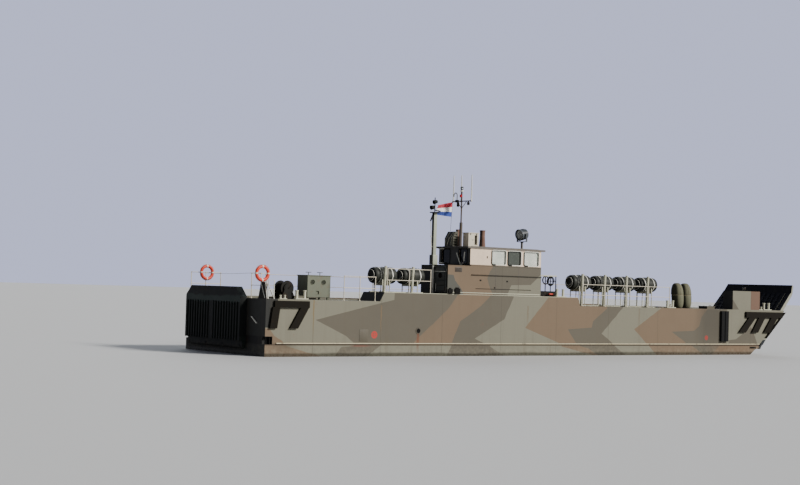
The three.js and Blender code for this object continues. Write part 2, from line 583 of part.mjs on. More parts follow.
// Louvred ventilation unit on the roof, its aft side sloping, and a pale locker forward of the mast
const ROOF_UNIT = { x: [11220, 11540], y: [-2000, -1400], height: 735, slope: [190, 330], slots: 5 };
function roofUnit() {
  const z0 = ROOF_TOP + SEAT;
  const top = z0 + ROOF_UNIT.height;
  const [x0, x1] = ROOF_UNIT.x;
  const [inward, down] = ROOF_UNIT.slope;
  const side = [[x0, z0], [x1, z0], [x1, top], [x0 + inward, top], [x0, top - down]];
  const pitch = (ROOF_UNIT.height - 120) / ROOF_UNIT.slots;
  const slots = Array.from({ length: ROOF_UNIT.slots }, (_, i) => z0 + 70 + i * pitch).map((low) => box(
    [x0 + 70, x1 - 60], [ROOF_UNIT.y[0] - 5, ROOF_UNIT.y[0] + 40], [low, low + 0.6 * pitch],
  ));
  const clipped = join(slots).intersect(push(
    [[x0 + 60, z0], [x1 - 50, z0], [x1 - 50, top - 60], [x0 + inward + 40, top - 60], [x0 + 60, top - down]],
    "y",
    [ROOF_UNIT.y[0] - 10, ROOF_UNIT.y[0] + 50],
  ));
  return cut(push(side, "y", ROOF_UNIT.y), clipped);
}
add("roof_ventilation_unit", roofUnit(), OLIVE_GREY);
const ROOF_LOCKER = {
  x: [11700, 12330],
  y: [-2620, -2200],
  height: 700,
  lid: 40,
  over: 20,
  bay: [12080, 12240],
};
function roofLocker() {
  const { x, y, height, lid, over, bay } = ROOF_LOCKER;
  const z0 = ROOF_TOP + SEAT;
  const body = box(x, y, [z0, z0 + height - lid + 5]);
  const cover = box([x[0] - over, x[1] + over], [y[0] - over, y[1] + over], [z0 + height - lid, z0 + height]);
  const opening = box(bay, [y[0] - 5, y[0] + 260], [z0 + 120, z0 + height - 120]);
  return cut(join(body, cover), opening);
}
add("roof_locker", roofLocker(), CREAM);

// Main mast on the roof, with an athwartships yard and three whip aerials
const MAST = { x: 11390, y: -2400, lower: DRAUGHT + 6300, top: DRAUGHT + 7900 };
const YARD = { z: DRAUGHT + 7320, half: 700, radius: 28 };
const GOOSENECK = { share: 0.5, rise: 290, bend: 120, radius: 24, drop: 60 };
const WHIP = { radius: 9, reach: 1250 };
const HALYARD = {
  top: [MAST.x, MAST.y + YARD.half - 20, YARD.z],
  foot: [11300, MAST.y + YARD.half - 20, ROOF_TOP + ROOF_UNIT.height + 15],
  radius: 8,
};
function mainMast() {
  const { x, y } = MAST;
  const foot = bar([x, y, ROOF_TOP + SEAT], [x, y, ROOF_TOP + 40], 150, 12);
  const lower = bar([x, y, ROOF_TOP + 20], [x, y, MAST.lower], 75, 10);
  const upper = bar([x, y, MAST.lower - 20], [x, y, MAST.top], 38, 10);
  const halyard = bar(HALYARD.top, HALYARD.foot, HALYARD.radius, 12);
  const yard = bar([x, y - YARD.half, YARD.z], [x, y + YARD.half, YARD.z], YARD.radius, 8);
  const braces = [-0.55, 0.45].map((share) => bar(
    [x, y + share * YARD.half, YARD.z], [x, y, YARD.z - 0.5 * YARD.half], 18, 6,
  ));
  const whips = [-0.96, 0.12, 0.96].map((share) => y + share * YARD.half).map((at) => bar(
    [x + 30, at, YARD.z - 40], [x + 30, at, YARD.z + WHIP.reach], WHIP.radius, 6,
  ));
  const clamps = [-0.96, 0.12, 0.96].map((share) => box(
    [x - 5, x + 42], [y + share * YARD.half - 14, y + share * YARD.half + 14], [YARD.z - 50, YARD.z + 25],
  ));
  const lamps = [[-0.72, 210], [0.38, 270]].map(([share, drop]) => bar(
    [x, y + share * YARD.half, YARD.z], [x, y + share * YARD.half, YARD.z - drop], 68, 10,
  ));
  const blockSpan = [y + 0.36 * YARD.half, y + 0.62 * YARD.half];
  const block = box([x - 60, x + 60], blockSpan, [YARD.z - 50, YARD.z + 70]);
  const masthead = bar([x, y, MAST.top - 10], [x, y, MAST.top + 110], 62, 12);
  const ring = bar([x, y, MAST.top - 130], [x, y, MAST.top - 60], 80, 12);
  const redLamp = bar([x - 55, y, MAST.top - 400], [x - 55, y, MAST.top - 260], 62, 10);
  const fittings = [yard, braces, whips, clamps, lamps, block, masthead, ring, redLamp];
  return join([foot, lower, upper, halyard, gooseneck(), fittings].flat(2));
}
// A pipe that rises from the yard and bends over outboard
function gooseneck() {
  const { share, rise, bend, radius, drop } = GOOSENECK;
  const [y, z] = [MAST.y + share * YARD.half, YARD.z + rise];
  const arc = [0, 45, 90, 135, 180].map((angle) => THREE.MathUtils.degToRad(angle))
    .map((angle) => [MAST.x, y + bend * (1 - Math.cos(angle)), z + bend * Math.sin(angle)]);
  const path = [[MAST.x, y, YARD.z], ...arc, [MAST.x, y + 2 * bend, z - drop]];
  return path.slice(1).map((point, i) => bar(path[i], point, radius, 8));
}
add("main_mast", mainMast(), OLIVE_GREY);

// Signal post behind the low house, with a platform and two lamps on a staff
const POST = { x: AFT_HOUSE.x[0] - 90, y: -2420, radius: 36, column: [90, 85], collar: [140, 140] };
const COLLAR_Z = [AFT_HOUSE.z[1] + SEAT, DRAUGHT + 4700];
const PLATFORM_Z = DRAUGHT + 6680;
const STAFF_TOP = DRAUGHT + 7400;
// Lamps on the staff: height, shift forward and to port, radius
const POST_LAMPS = [
  [DRAUGHT + 7190, 60, -60, 100],
  [DRAUGHT + 6930, 0, 60, 105],
];
function signalPost() {
  const { x, y } = POST;
  const at = (z) => [x, y, z];
  const square = ([halfX, halfY], z) => box([x - halfX, x + halfX], [y - halfY, y + halfY], z);
  const foot = bar(at(RAISED_DECK_Z + SEAT), at(RAISED_DECK_Z + 30), 75, 12);
  const lower = bar(at(RAISED_DECK_Z + 20), at(COLLAR_Z[0] + BURIED), POST.radius, 10);
  const collar = square(POST.collar, COLLAR_Z);
  const column = square(POST.column, [COLLAR_Z[1] - BURIED, PLATFORM_Z]);
  const plate = bar(at(PLATFORM_Z - 10), at(PLATFORM_Z + 30), 240, 12);
  const staff = bar(at(PLATFORM_Z), at(STAFF_TOP), 24, 8);
  const arm = bar([x - 30, y, PLATFORM_Z + 130], [x + 330, y, PLATFORM_Z + 90], 28, 8);
  const strut = bar([x - 240, y, PLATFORM_Z - 400], [x - 60, y, PLATFORM_Z], 36, 8);
  const stay = bar([x - 240, y, PLATFORM_Z - 400], [x - 110, y, COLLAR_Z[1] - BURIED], 14, 6);
  const lamps = POST_LAMPS.map(([z, forward, port, radius]) => bar(
    [x + forward + 15, y + port, z + 20], [x + forward - 185, y + port, z - 20], radius * 0.75, 12, radius,
  ));
  return join(foot, lower, collar, column, plate, staff, arm, strut, stay, lamps);
}
add("signal_post", signalPost(), NIGHT);

// Ensign on its halyard, which runs from the yard's port end down to the ventilation unit. It flies aft.
const FLAG = { thick: 10, hoist: 710, fly: 980, below: 25, taper: 120 };
function ensign() {
  const [[topX, , topZ], [footX, , footZ]] = [HALYARD.top, HALYARD.foot];
  const at = (z) => topX + ((footX - topX) * (topZ - z)) / (topZ - footZ) - HALYARD.radius - SEAT;
  const top = topZ - FLAG.below;
  const low = top - FLAG.hoist;
  const outline = [
    [at(low), low],
    [at(top), top],
    [at(top) - FLAG.fly, top - FLAG.taper],
    [at(low) - FLAG.fly, low + FLAG.taper],
  ];
  const y = HALYARD.top[1];
  return push(outline, "y", [y - FLAG.thick / 2, y + FLAG.thick / 2]);
}
add("ensign", ensign(), WHITE);

// Ventilation box on the aft deck, on four feet, with round vents and two handwheels
const VENT_BOX = { x: [2500, 3710], y: [-2780, -1960], foot: 110, z: [WING_DECK_Z + 110, DRAUGHT + 3520] };
function ventBox() {
  const { x, y, z } = VENT_BOX;
  const body = box(x, y, z);
  const feet = [x[0] + 80, x[1] - 80].flatMap((px) => [y[0] + 80, y[1] - 80].map((py) => box(
    [px - 40, px + 40], [py - 40, py + 40], [WING_DECK_Z + SEAT, z[0] + 5],
  )));
  const lip = box([x[0] - 25, x[1] + 25], [y[0] - 25, y[1] + 25], [z[1] - 5, z[1] + 30]);
  const vents = [0.22, 0.7].map((share) => {
    const px = x[0] + share * (x[1] - x[0]);
    return bar([px, y[0] + 50, z[1] - 280], [px, y[0] - 5, z[1] - 280], 110, 16);
  });
  const middle = x[0] + 0.45 * (x[1] - x[0]);
  const port = box([middle - 70, middle + 70], [y[0] - 5, y[0] + 50], [z[0] + 130, z[0] + 270]);
  const wheels = [0.25, 0.75].flatMap((share) => {
    const centre = [x[0] + share * (x[1] - x[0]), (y[0] + y[1]) / 2, z[1] + 150];
    const rim = solid(new THREE.TorusGeometry(120, 14, 5, 12).translate(...centre));
    const spoke = box(...centre.map((at, i) => (i === 0 ? [at - 125, at + 125] : [at - 10, at + 10])));
    const stem = bar([centre[0], centre[1], z[1] + 20], centre, 18, 8);
    return [join(rim, spoke, stem)];
  });
  return join(cut(body, vents, port), feet, lip, wheels);
}
add("ventilation_box", ventBox(), SAGE);

// Mooring winch on the stern deck: a drum between two side frames
const WINCH = { x: [1060, 1760], y: [-2950, -2200], axle: WING_DECK_Z + 470, drum: 210, flange: 320 };
function winch() {
  const mid = (WINCH.x[0] + WINCH.x[1]) / 2;
  const [y0, y1] = WINCH.y;
  const frames = [[y0, y0 + 50], [y1 - 50, y1]].map((span) => push(
    [[WINCH.x[0], WING_DECK_Z + SEAT], [WINCH.x[1], WING_DECK_Z + SEAT], [mid + 120, WINCH.axle + 120],
      [mid - 120, WINCH.axle + 120]],
    "y",
    span,
  ));
  const drum = bar([mid, y0 + 10, WINCH.axle], [mid, y1 - 10, WINCH.axle], WINCH.drum, 16);
  const flanges = [y0 + 90, y1 - 110].map((y) => bar(
    [mid, y, WINCH.axle], [mid, y + 25, WINCH.axle], WINCH.flange, 20,
  ));
  const motor = box([mid - 140, mid + 160], [y1 - 10, y1 + 230], [WINCH.axle - 150, WINCH.axle + 150]);
  return join(frames, drum, flanges, motor);
}
add("mooring_winch", winch(), NIGHT);

// Double bollards: name, middle along the craft, middle across it, deck
const BOLLARD = { base: [330, 130, 45], post: 72, cap: 88, spread: 205, height: 400 };
const BOLLARDS = [
  ["bollard_starboard_stern", 1950, -3100, WING_DECK_Z],
  ["bollard_starboard_raised", 17290, -3100, RAISED_DECK_Z],
  ["bollard_starboard_forward", 25250, -3100, WING_DECK_Z],
  ["bollard_starboard_bow", 33160, -3040, WING_DECK_Z],
  ["bollard_port_stern", 1950, 3160, WING_DECK_Z],
  ["bollard_port_bow", 33160, 3130, WING_DECK_Z],
];
function bollard(x, y, deck) {
  const [halfLong, halfWide, thick] = BOLLARD.base;
  const base = box([x - halfLong, x + halfLong], [y - halfWide, y + halfWide], [deck + SEAT, deck + thick]);
  const posts = [-BOLLARD.spread, BOLLARD.spread].flatMap((shift) => [
    bar([x + shift, y, deck + thick - 5], [x + shift, y, deck + BOLLARD.height], BOLLARD.post, 12),
    bar([x + shift, y, deck + BOLLARD.height - 40], [x + shift, y, deck + BOLLARD.height], BOLLARD.cap, 12),
  ]);
  return join(base, posts);
}
for (const [name, x, y, deck] of BOLLARDS) add(name, bollard(x, y, deck), WHITE);

// Guard rails: stanchions at plan points, joined by round bars at two heights
const STANCHION = { radius: 20, bar: 14, heights: [560, 1080] };
function rail(points, deck, top = STANCHION.heights[1]) {
  const posts = points.map(([x, y]) => bar(
    [x, y, deck + SEAT], [x, y, deck + top + 15], STANCHION.radius, 6,
  ));
  const spans = points.slice(1).map((point, i) => [points[i], point]);
  const bars = spans.flatMap(([from, to]) => [STANCHION.heights[0], top].map((height) => bar(
    [...from, deck + height], [...to, deck + height], STANCHION.bar, 5,
  )));
  return join(posts, bars);
}
const row = (first, pitch, count, y) => Array.from({ length: count }, (_, i) => [first + i * pitch, y]);
const PITCH = 1580;
const RAIL_Y = HALF_BEAM - 70;
add("rail_starboard_aft", rail(row(4056, 850, 3, -RAIL_Y), WING_DECK_Z), CREAM);
add("rail_starboard_raised", rail(row(6420, 1240, 3, -RAIL_Y), RAISED_DECK_Z), CREAM);
add("rail_starboard_forward", rail(row(18600, PITCH, 5, -RAIL_Y), WING_DECK_Z), CREAM);
add("rail_port", rail(row(4160, 2 * PITCH, 9, RAIL_Y), WING_DECK_Z), CREAM);

// Stern rails: on the starboard quarter beside a tapered corner post, and a short one on the port quarter
const BUOY = { radius: 290, tube: 72, z: DRAUGHT + 3550 };
const STERN_STARBOARD = [[150, -2718], [150, -1950], [930, -1950]];
const STERN_PORT = [[130, RAIL_Y], [890, RAIL_Y], [1680, RAIL_Y]];
add("rail_stern_starboard", rail(STERN_STARBOARD, WING_DECK_Z), CREAM);
add("rail_stern_port", rail(STERN_PORT, WING_DECK_Z), CREAM);
const CORNER_POST = [
  [-HALF_BEAM + 20, WING_DECK_Z + SEAT],
  [-2745, WING_DECK_Z + SEAT],
  [-2930, DRAUGHT + 3180],
  [-3230, DRAUGHT + 3180],
];
add("stern_corner_post", push(CORNER_POST, "x", [15, 100]), NIGHT);

// Lifebuoys, each hung on a stanchion
function lifebuoy([x, y]) {
  const centre = y - BUOY.tube - STANCHION.radius - SEAT;
  const shape = new THREE.TorusGeometry(BUOY.radius, BUOY.tube, 8, 20);
  return solid(shape.rotateX(Math.PI / 2).translate(x, centre, BUOY.z));
}
add("lifebuoy_starboard", lifebuoy(STERN_STARBOARD[0]), ORANGE);
add("lifebuoy_port", lifebuoy(STERN_PORT[1]), ORANGE);

// Liferaft canisters in two racks. Each canister is a round drum along the craft with a raised middle band
const RAFT = { radius: 375, length: 1290, z: DRAUGHT + 3650, y: -2240, pitch: 1620 };
const RAFTS = [
  ["aft", 6300, 2, RAISED_DECK_Z],
  ["forward", 18700, 4, WING_DECK_Z],
];
const CANISTER_PROFILE = [
  [0, 0], [0.62, 0], [0.9, 0.035], [1, 0.1], [1, 0.47], [1.05, 0.47], [1.05, 0.53], [1, 0.53], [1, 0.9],
  [0.9, 0.965], [0.62, 1], [0, 1],
].map(([r, h]) => [r * RAFT.radius, h * RAFT.length]);
function canister(x) {
  const shape = new THREE.LatheGeometry(CANISTER_PROFILE.map(([r, h]) => new THREE.Vector2(r, h)), 16);
  return solid(shape.rotateZ(-Math.PI / 2).translate(x, RAFT.y, RAFT.z));
}
// A rack: two runners, and for each canister two cross saddles and a tall post outboard of it.
// A saddle's upper edge follows lines that touch the drum. Each corner of it has an angle and a half width.
const CRADLE = [[60, 10], [40, 10], [15, 15]].map(([angle, half]) => {
  const reach = (RAFT.radius + SEAT) / Math.cos(THREE.MathUtils.degToRad(half));
  const turned = THREE.MathUtils.degToRad(angle);
  return [reach * Math.sin(turned), RAFT.z - reach * Math.cos(turned)];
});
const RACK = { runner: 40, half: 330, saddle: 50, legs: 32 };
const RACK_POST = { radius: 68, first: 380, pitch: 1580, y: -2770, above: 430 };
function raftRack(first, count, deck) {
  const starts = Array.from({ length: count }, (_, i) => first + i * RAFT.pitch);
  const bottom = RAFT.z - RAFT.radius - SEAT;
  const end = starts.at(-1) + RAFT.length;
  const runners = [-1, 1].map((side) => box(
    [first + 150, end - 150],
    [RAFT.y + side * RACK.half - RACK.runner / 2, RAFT.y + side * RACK.half + RACK.runner / 2],
    [deck + SEAT, deck + RACK.runner],
  ));
  const saddles = starts.flatMap((x) => [0.34, 0.64].map((share) => {
    const at = x + share * RAFT.length;
    const across = [at - RACK.saddle / 2, at + RACK.saddle / 2];
    const beam = push(
      [
        [RAFT.y - RACK.half - 20, bottom - 90],
        [RAFT.y + RACK.half + 20, bottom - 90],
        ...CRADLE.map(([y, z]) => [RAFT.y + y, z]),
        ...CRADLE.map(([y, z]) => [RAFT.y - y, z]).reverse(),
      ],
      "x",
      across,
    );
    const legs = [-1, 1].map((side) => box(
      [at - RACK.legs / 2, at + RACK.legs / 2],
      [RAFT.y + side * RACK.half - RACK.legs / 2, RAFT.y + side * RACK.half + RACK.legs / 2],
      [deck + RACK.runner - 5, bottom - 80],
    ));
    return join(beam, legs);
  }));
  const posts = starts.map((_, i) => {
    const { radius, pitch, y, above } = RACK_POST;
    const at = first + RACK_POST.first + i * pitch;
    const upright = bar([at, y, deck + RACK.runner - 15], [at + 60, y, RAFT.z + above], radius, 8);
    const tie = box([at - 60, at + 60], [y - 80, RAFT.y - RACK.half], [deck + SEAT, deck + RACK.runner]);
    return join(upright, tie);
  });
  return join(runners, saddles, posts);
}
for (const [place, first, count, deck] of RAFTS) {
  add("raft_rack_" + place, raftRack(first, count, deck), CREAM);
  for (let i = 0; i < count; i++) add(`raft_${place}_${i + 1}`, canister(first + i * RAFT.pitch), CANISTER);
}

// Upright tube fenders on the starboard deck, lashed with their heads a little aft
const TUBE = { radius: 325, height: 1340, lean: 130 };
const TUBE_PROFILE = [[0, 0], [0.6, 0], [0.72, 0.02], [0.9, 0.16], [0.98, 0.34], [1, 0.48], [0.96, 0.52],
  [1, 0.56], [0.96, 0.7], [0.82, 0.86], [0.55, 0.96], [0.28, 1], [0, 1]];
const TUBES = [
  ["tube_fender_aft", 26120, -2870],
  ["tube_fender_forward", 26930, -2700],
];
function tubeFender(x, y) {
  const foot = WING_DECK_Z + SEAT;
  const upright = turned(TUBE_PROFILE.map(([r, h]) => [r * TUBE.radius, h * TUBE.height]), [0, 0, 0], 16);
  const leaned = new THREE.Matrix4().makeShear(0, 0, 0, 0, -TUBE.lean / TUBE.height, 0);
  return upright.transform(leaned.elements).translate([x, y, foot]);
}
for (const [name, x, y] of TUBES) add(name, tubeFender(x, y), OLIVE_GREY);

// Low locker forward of the wheelhouse, with a hose coil hung in an open frame over it
const LOCKER = { x: [16350, 17450], y: [-2640, -1900], z: [RAISED_DECK_Z + SEAT, DRAUGHT + 3950] };
const LOCKER_FRAME = { foot: 280, posts: [16730, 17400], radius: 24, half: 30, coil: 195, hose: 34 };
function locker() {
  const { x, y, z } = LOCKER;
  const top = z[0] + LOCKER_FRAME.foot;
  const body = push([[x[0], z[0]], [x[1], z[0]], [x[1], top], [x[0] + 180, top], [x[0], z[0] + 120]], "y", y);
  const middle = (y[0] + y[1]) / 2;
  const { posts, radius, half, coil, hose } = LOCKER_FRAME;
  const uprights = posts.map((px) => bar([px, middle, top - BURIED], [px, middle, z[1] - 10], radius, 8));
  const rung = box([posts[0] - 40, posts[1] + 30], [middle - half, middle + half], [z[1] - 50, z[1]]);
  const shape = new THREE.TorusGeometry(coil, hose, 6, 14).rotateX(Math.PI / 2);
  const ring = solid(shape.translate((posts[0] + posts[1]) / 2, middle, z[1] - 50 - coil));
  return join(body, uprights, rung, ring);
}
add("deck_locker", locker(), OLIVE_GREY);

// Hatch lids on their coamings, hinged along the inboard edge
const hatchHinge = (x, y) => [x, y + HATCH.half + HATCH.over + 22, WING_DECK_Z + HATCH.coaming + 22];
const HATCH_BARRELS = [[-200, -120], [120, 200]];
function hatchLid(x, y) {
  const z0 = WING_DECK_Z + HATCH.coaming + SEAT;
  const outer = HATCH.half + HATCH.over;
  const plate = box([x - outer, x + outer], [y - outer, y + outer], [z0, z0 + HATCH.lid]);
  const hinge = hatchHinge(x, y);
  const knuckles = HATCH_BARRELS.map(([from, to]) => join(
    barrel(hinge, "x", [x + from, x + to]),
    box([x + from, x + to], [y + outer - 10, hinge[1] - 13], [hinge[2] - 8, hinge[2] + 8]),
  ));
  const grip = [y - outer + 90, z0 + HATCH.lid + 45];
  const handle = bar([x - 80, ...grip], [x + 80, ...grip], 12);
  const feet = [x - 70, x + 70].map((px) => bar([px, ...grip], [px, grip[0], z0 + HATCH.lid - 5], 11));
  return join(plate, knuckles, handle, feet);
}
for (const [name, x, y] of HATCHES) add(name, hatchLid(x, y), OLIVE_GREY);

// The wings carry the strakes, the hatch coamings and the ears of the hatch hinges
const hatchEars = (x, y) => HATCH_BARRELS.map(([from, to]) => pinWithEars(
  hatchHinge(x, y), "x", [x + from, x + to], [0, 0, -HATCH.coaming - 22 - BURIED],
));
const hatchSeats = HATCHES.flatMap(([, x, y]) => [coaming(x, y), ...hatchEars(x, y)]);
const starboardWing = cut(join(wing(-1, LANE_STARBOARD, BOW_STARBOARD), strake(-1)), pocket(-1));
add("wing_starboard", join(starboardWing, hatchSeats), SAGE);
add("wing_port", cut(join(wing(1, LANE_PORT, BOW_PORT), strake(1)), pocket(1)), SAGE);

export default craft;
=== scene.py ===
"""Looks of a drive-through military landing craft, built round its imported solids.

Everything is in metres in the row frame. Places along the craft are easier to give from the transom, and
heights from the waterline, so station() turns such a place into the row frame.
"""

import logging
import math
from dataclasses import dataclass
from enum import Enum
from typing import Sequence

import bmesh
import bpy
from mathutils import Matrix, Vector

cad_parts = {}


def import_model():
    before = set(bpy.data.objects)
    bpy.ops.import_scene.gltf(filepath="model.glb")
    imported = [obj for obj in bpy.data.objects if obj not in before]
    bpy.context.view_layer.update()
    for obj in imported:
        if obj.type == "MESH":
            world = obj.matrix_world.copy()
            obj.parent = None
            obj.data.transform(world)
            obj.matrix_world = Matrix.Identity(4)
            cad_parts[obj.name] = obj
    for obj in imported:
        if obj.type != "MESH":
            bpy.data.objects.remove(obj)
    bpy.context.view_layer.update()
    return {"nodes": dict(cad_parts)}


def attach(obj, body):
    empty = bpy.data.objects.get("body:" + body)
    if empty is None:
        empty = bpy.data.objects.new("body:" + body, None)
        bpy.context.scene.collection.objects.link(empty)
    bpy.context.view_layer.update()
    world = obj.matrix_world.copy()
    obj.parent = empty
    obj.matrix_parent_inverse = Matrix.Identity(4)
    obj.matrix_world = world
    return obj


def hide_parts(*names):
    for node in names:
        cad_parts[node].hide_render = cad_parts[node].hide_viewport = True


LOG = logging.getLogger("landing_craft")

Point = tuple[float, float, float]
Span = tuple[float, float]
Colour = tuple[float, float, float]

MID_X = 17.8
WATERLINE = 1.05
HALF_BEAM = 3.425
WING_DECK = 2.47
RAISED_DECK = 2.88
VEHICLE_DECK = 0.45
ROOF_TOP = 5.1453
WALL = -HALF_BEAM
INTO_WALL = 0.004
OFF_DECK = 0.0003


def station(x: float, y: float, z: float) -> Vector:
    """Returns the row-frame point at x from the transom, y to port and z above the waterline."""
    return Vector((x - MID_X, y, z + WATERLINE))


def linear(*display: float) -> Colour:
    """Turns a display colour, red, green and blue from 0 to 255, into a linear one."""
    shares = [level / 255 for level in display]
    return tuple(s / 12.92 if s <= 0.04045 else ((s + 0.055) / 1.055) ** 2.4 for s in shares)


class Paint(Enum):
    """Paints of the craft, and one painted shade, as linear colours."""

    SAGE = linear(117, 115, 100)
    BROWN = linear(110, 93, 74)
    DARK = linear(88, 83, 71)
    GREY = linear(76, 76, 69)
    PINK_BROWN = linear(106, 81, 66)
    # Painted shade: near black, drawn on faces that look aft.
    PAINTED_SHADE = linear(36, 37, 34)
    DECK = linear(71, 71, 65)
    CREAM = linear(232, 210, 186)
    WHITE = linear(222, 222, 212)
    BLACK = linear(14, 13, 12)
    RED = linear(190, 46, 40)
    BOTTOM = linear(60, 39, 32)
    ROOF = linear(107, 101, 93)


@dataclass(frozen=True)
class Value:
    """A number, vector or colour in a node tree, from which others are worked out."""

    graph: "Graph"
    socket: bpy.types.NodeSocket

    def maths(self, operation: str, *others: "Value | float", clamp: bool = False) -> "Value":
        """Returns the result of a Math node that starts from this number."""
        return self.graph.maths(operation, self, *others, clamp=clamp)

    def __add__(self, other: "Value | float") -> "Value":
        """Returns the sum."""
        return self.maths("ADD", other)

    def __sub__(self, other: "Value | float") -> "Value":
        """Returns the difference."""
        return self.maths("SUBTRACT", other)

    def __rsub__(self, other: float) -> "Value":
        """Returns a plain number less this one."""
        return self.graph.maths("SUBTRACT", other, self)

    def __mul__(self, other: "Value | float") -> "Value":
        """Returns the product."""
        return self.maths("MULTIPLY", other)

    def __abs__(self) -> "Value":
        """Returns the distance from nought."""
        return self.maths("ABSOLUTE")

    def scaled(self, factor: "Value | float", offset: "Value | float", clamp: bool = False) -> "Value":
        """Returns this number times the factor, plus the offset."""
        return self.maths("MULTIPLY_ADD", factor, offset, clamp=clamp)

    def between(self, low: float, high: float) -> "Value":
        """Returns a smooth 0 to 1 as this goes from low to high, or 1 to 0 where high is less than low."""
        made = self.graph.node("ShaderNodeMapRange", interpolation_type="SMOOTHSTEP")
        ends = (low, high, 0.0, 1.0) if low < high else (high, low, 1.0, 0.0)
        for target, value in zip(made.inputs, (self, *ends)):
            self.graph.feed(target, value)
        return self.graph.out(made)

    def mapped(self, scale: Point, shift: Point = (0.0, 0.0, 0.0)) -> "Value":
        """Returns this vector scaled and then moved."""
        made = self.graph.node("ShaderNodeMapping", Scale=scale)
        made.inputs["Location"].default_value = shift
        self.graph.feed(made.inputs["Vector"], self)
        return self.graph.out(made)

    def parts(self) -> "list[Value]":
        """Returns this vector's three parts."""
        made = self.graph.node("ShaderNodeSeparateXYZ")
        self.graph.feed(made.inputs[0], self)
        return [self.graph.out(made, index) for index in range(3)]


class Graph:
    """Short calls for building one node tree."""

    def __init__(self, tree: bpy.types.NodeTree) -> None:
        """Takes the tree to build in."""
        self.tree = tree

    def node(self, kind: str, **values: object) -> bpy.types.Node:
        """Adds a node and sets its properties by name, or its inputs where it has no such property."""
        made = self.tree.nodes.new(kind)
        for name, value in values.items():
            if hasattr(made, name):
                setattr(made, name, value)
            else:
                made.inputs[name].default_value = value
        return made

    def out(self, made: bpy.types.Node, key: int | str = 0) -> Value:
        """Returns one output of a node."""
        return Value(self, made.outputs[key])

    def feed(self, target: bpy.types.NodeSocket, value: Value | float | Sequence[float]) -> None:
        """Links a value to the target, or sets the target to a plain number, vector or colour."""
        if isinstance(value, Value):
            self.tree.links.new(value.socket, target)
        elif isinstance(value, (int, float)) or len(value) == len(target.default_value):
            target.default_value = value
        else:
            target.default_value = (*value, 1.0)

    def coordinates(self, kind: str = "Object") -> Value:
        """Returns the piece's own coordinates, or its own normal."""
        return self.out(self.node("ShaderNodeTexCoord"), kind)

    def maths(self, operation: str, *values: Value | float, clamp: bool = False) -> Value:
        """Returns the result of a Math node, kept between 0 and 1 where clamp is set."""
        made = self.node("ShaderNodeMath", operation=operation, use_clamp=clamp)
        for target, value in zip(made.inputs, values):
            self.feed(target, value)
        return self.out(made)

    def mix(self, share: Value | float, first: Value | Colour, second: Value | Colour,
            blend: str = "MIX") -> Value:
        """Returns a mix of two colours with that share of the second."""
        made = self.node("ShaderNodeMix", data_type="RGBA", blend_type=blend)
        for index, value in ((0, share), (6, first), (7, second)):
            self.feed(made.inputs[index], value)
        return self.out(made, 2)

    def darkened(self, colour: Value, shade: Value) -> Value:
        """Returns the colour multiplied by a shade of grey."""
        grey = self.mix(shade, (0.0, 0.0, 0.0), (1.0, 1.0, 1.0))
        return self.mix(1.0, colour, grey, "MULTIPLY")

    def noise(self, vector: Value, scale: Value | float, detail: float = 3.0,
              roughness: float = 0.55) -> Value:
        """Returns a noise value between 0 and 1 at the vector."""
        made = self.node("ShaderNodeTexNoise", Detail=detail, Roughness=roughness)
        self.feed(made.inputs["Vector"], vector)
        self.feed(made.inputs["Scale"], scale)
        return self.out(made)

    def curve(self, value: Value, points: Sequence[Span], span: Span, reach: Span) -> Value:
        """Returns a broken line's height at value.

        Args:
            value: The place along the line.
            points: Place and height of each corner, in rising order of place.
            span: The lowest and highest place that the line covers.
            reach: The lowest and highest height that it can hold.
        """
        ramp = self.node("ShaderNodeValToRGB")
        share = (value - span[0]).maths("DIVIDE", span[1] - span[0], clamp=True)
        self.feed(ramp.inputs[0], share)
        stops = ramp.color_ramp.elements
        stops.remove(stops[-1])
        for index, (place, height) in enumerate(points):
            at = (place - span[0]) / (span[1] - span[0])
            stop = stops[0] if index == 0 else stops.new(at)
            stop.position = at
            level = (height - reach[0]) / (reach[1] - reach[0])
            stop.color = (level, level, level, 1.0)
        return self.out(ramp).scaled(reach[1] - reach[0], reach[0])

    def use(self, shared: bpy.types.NodeTree, **values: Value | float | Colour) -> dict[str, Value]:
        """Places a shared group, feeds its inputs by name and returns its outputs by name."""
        made = self.node("ShaderNodeGroup", node_tree=shared)
        for name, value in values.items():
            self.feed(made.inputs[name], value)
        return {socket.name: Value(self, socket) for socket in made.outputs}


class Group(Graph):
    """A new shader node group, with what it is given by name."""

    def __init__(self, name: str, inputs: dict[str, str], outputs: dict[str, str]) -> None:
        """Starts the group, given the kind of each input and output by name."""
        super().__init__(bpy.data.node_groups.new(name, "ShaderNodeTree"))
        for way, sockets in (("INPUT", inputs), ("OUTPUT", outputs)):
            for title, kind in sockets.items():
                self.tree.interface.new_socket(name=title, in_out=way, socket_type=f"NodeSocket{kind}")
        self.given = {socket.name: Value(self, socket) for socket in self.node("NodeGroupInput").outputs}
        self.end = self.node("NodeGroupOutput")

    def give(self, **results: Value) -> bpy.types.NodeTree:
        """Feeds the group's outputs by name, and returns its tree."""
        for name, value in results.items():
            self.feed(self.end.inputs[name], value)
        return self.tree


@dataclass(frozen=True)
class Edge:
    """Where one camouflage colour ends and the next begins, going forward.

    Attributes:
        paint: The colour forward of the edge.
        points: Height above the waterline and place from the transom of each corner, rising.
    """

    paint: Paint
    points: tuple[tuple[float, float], ...]


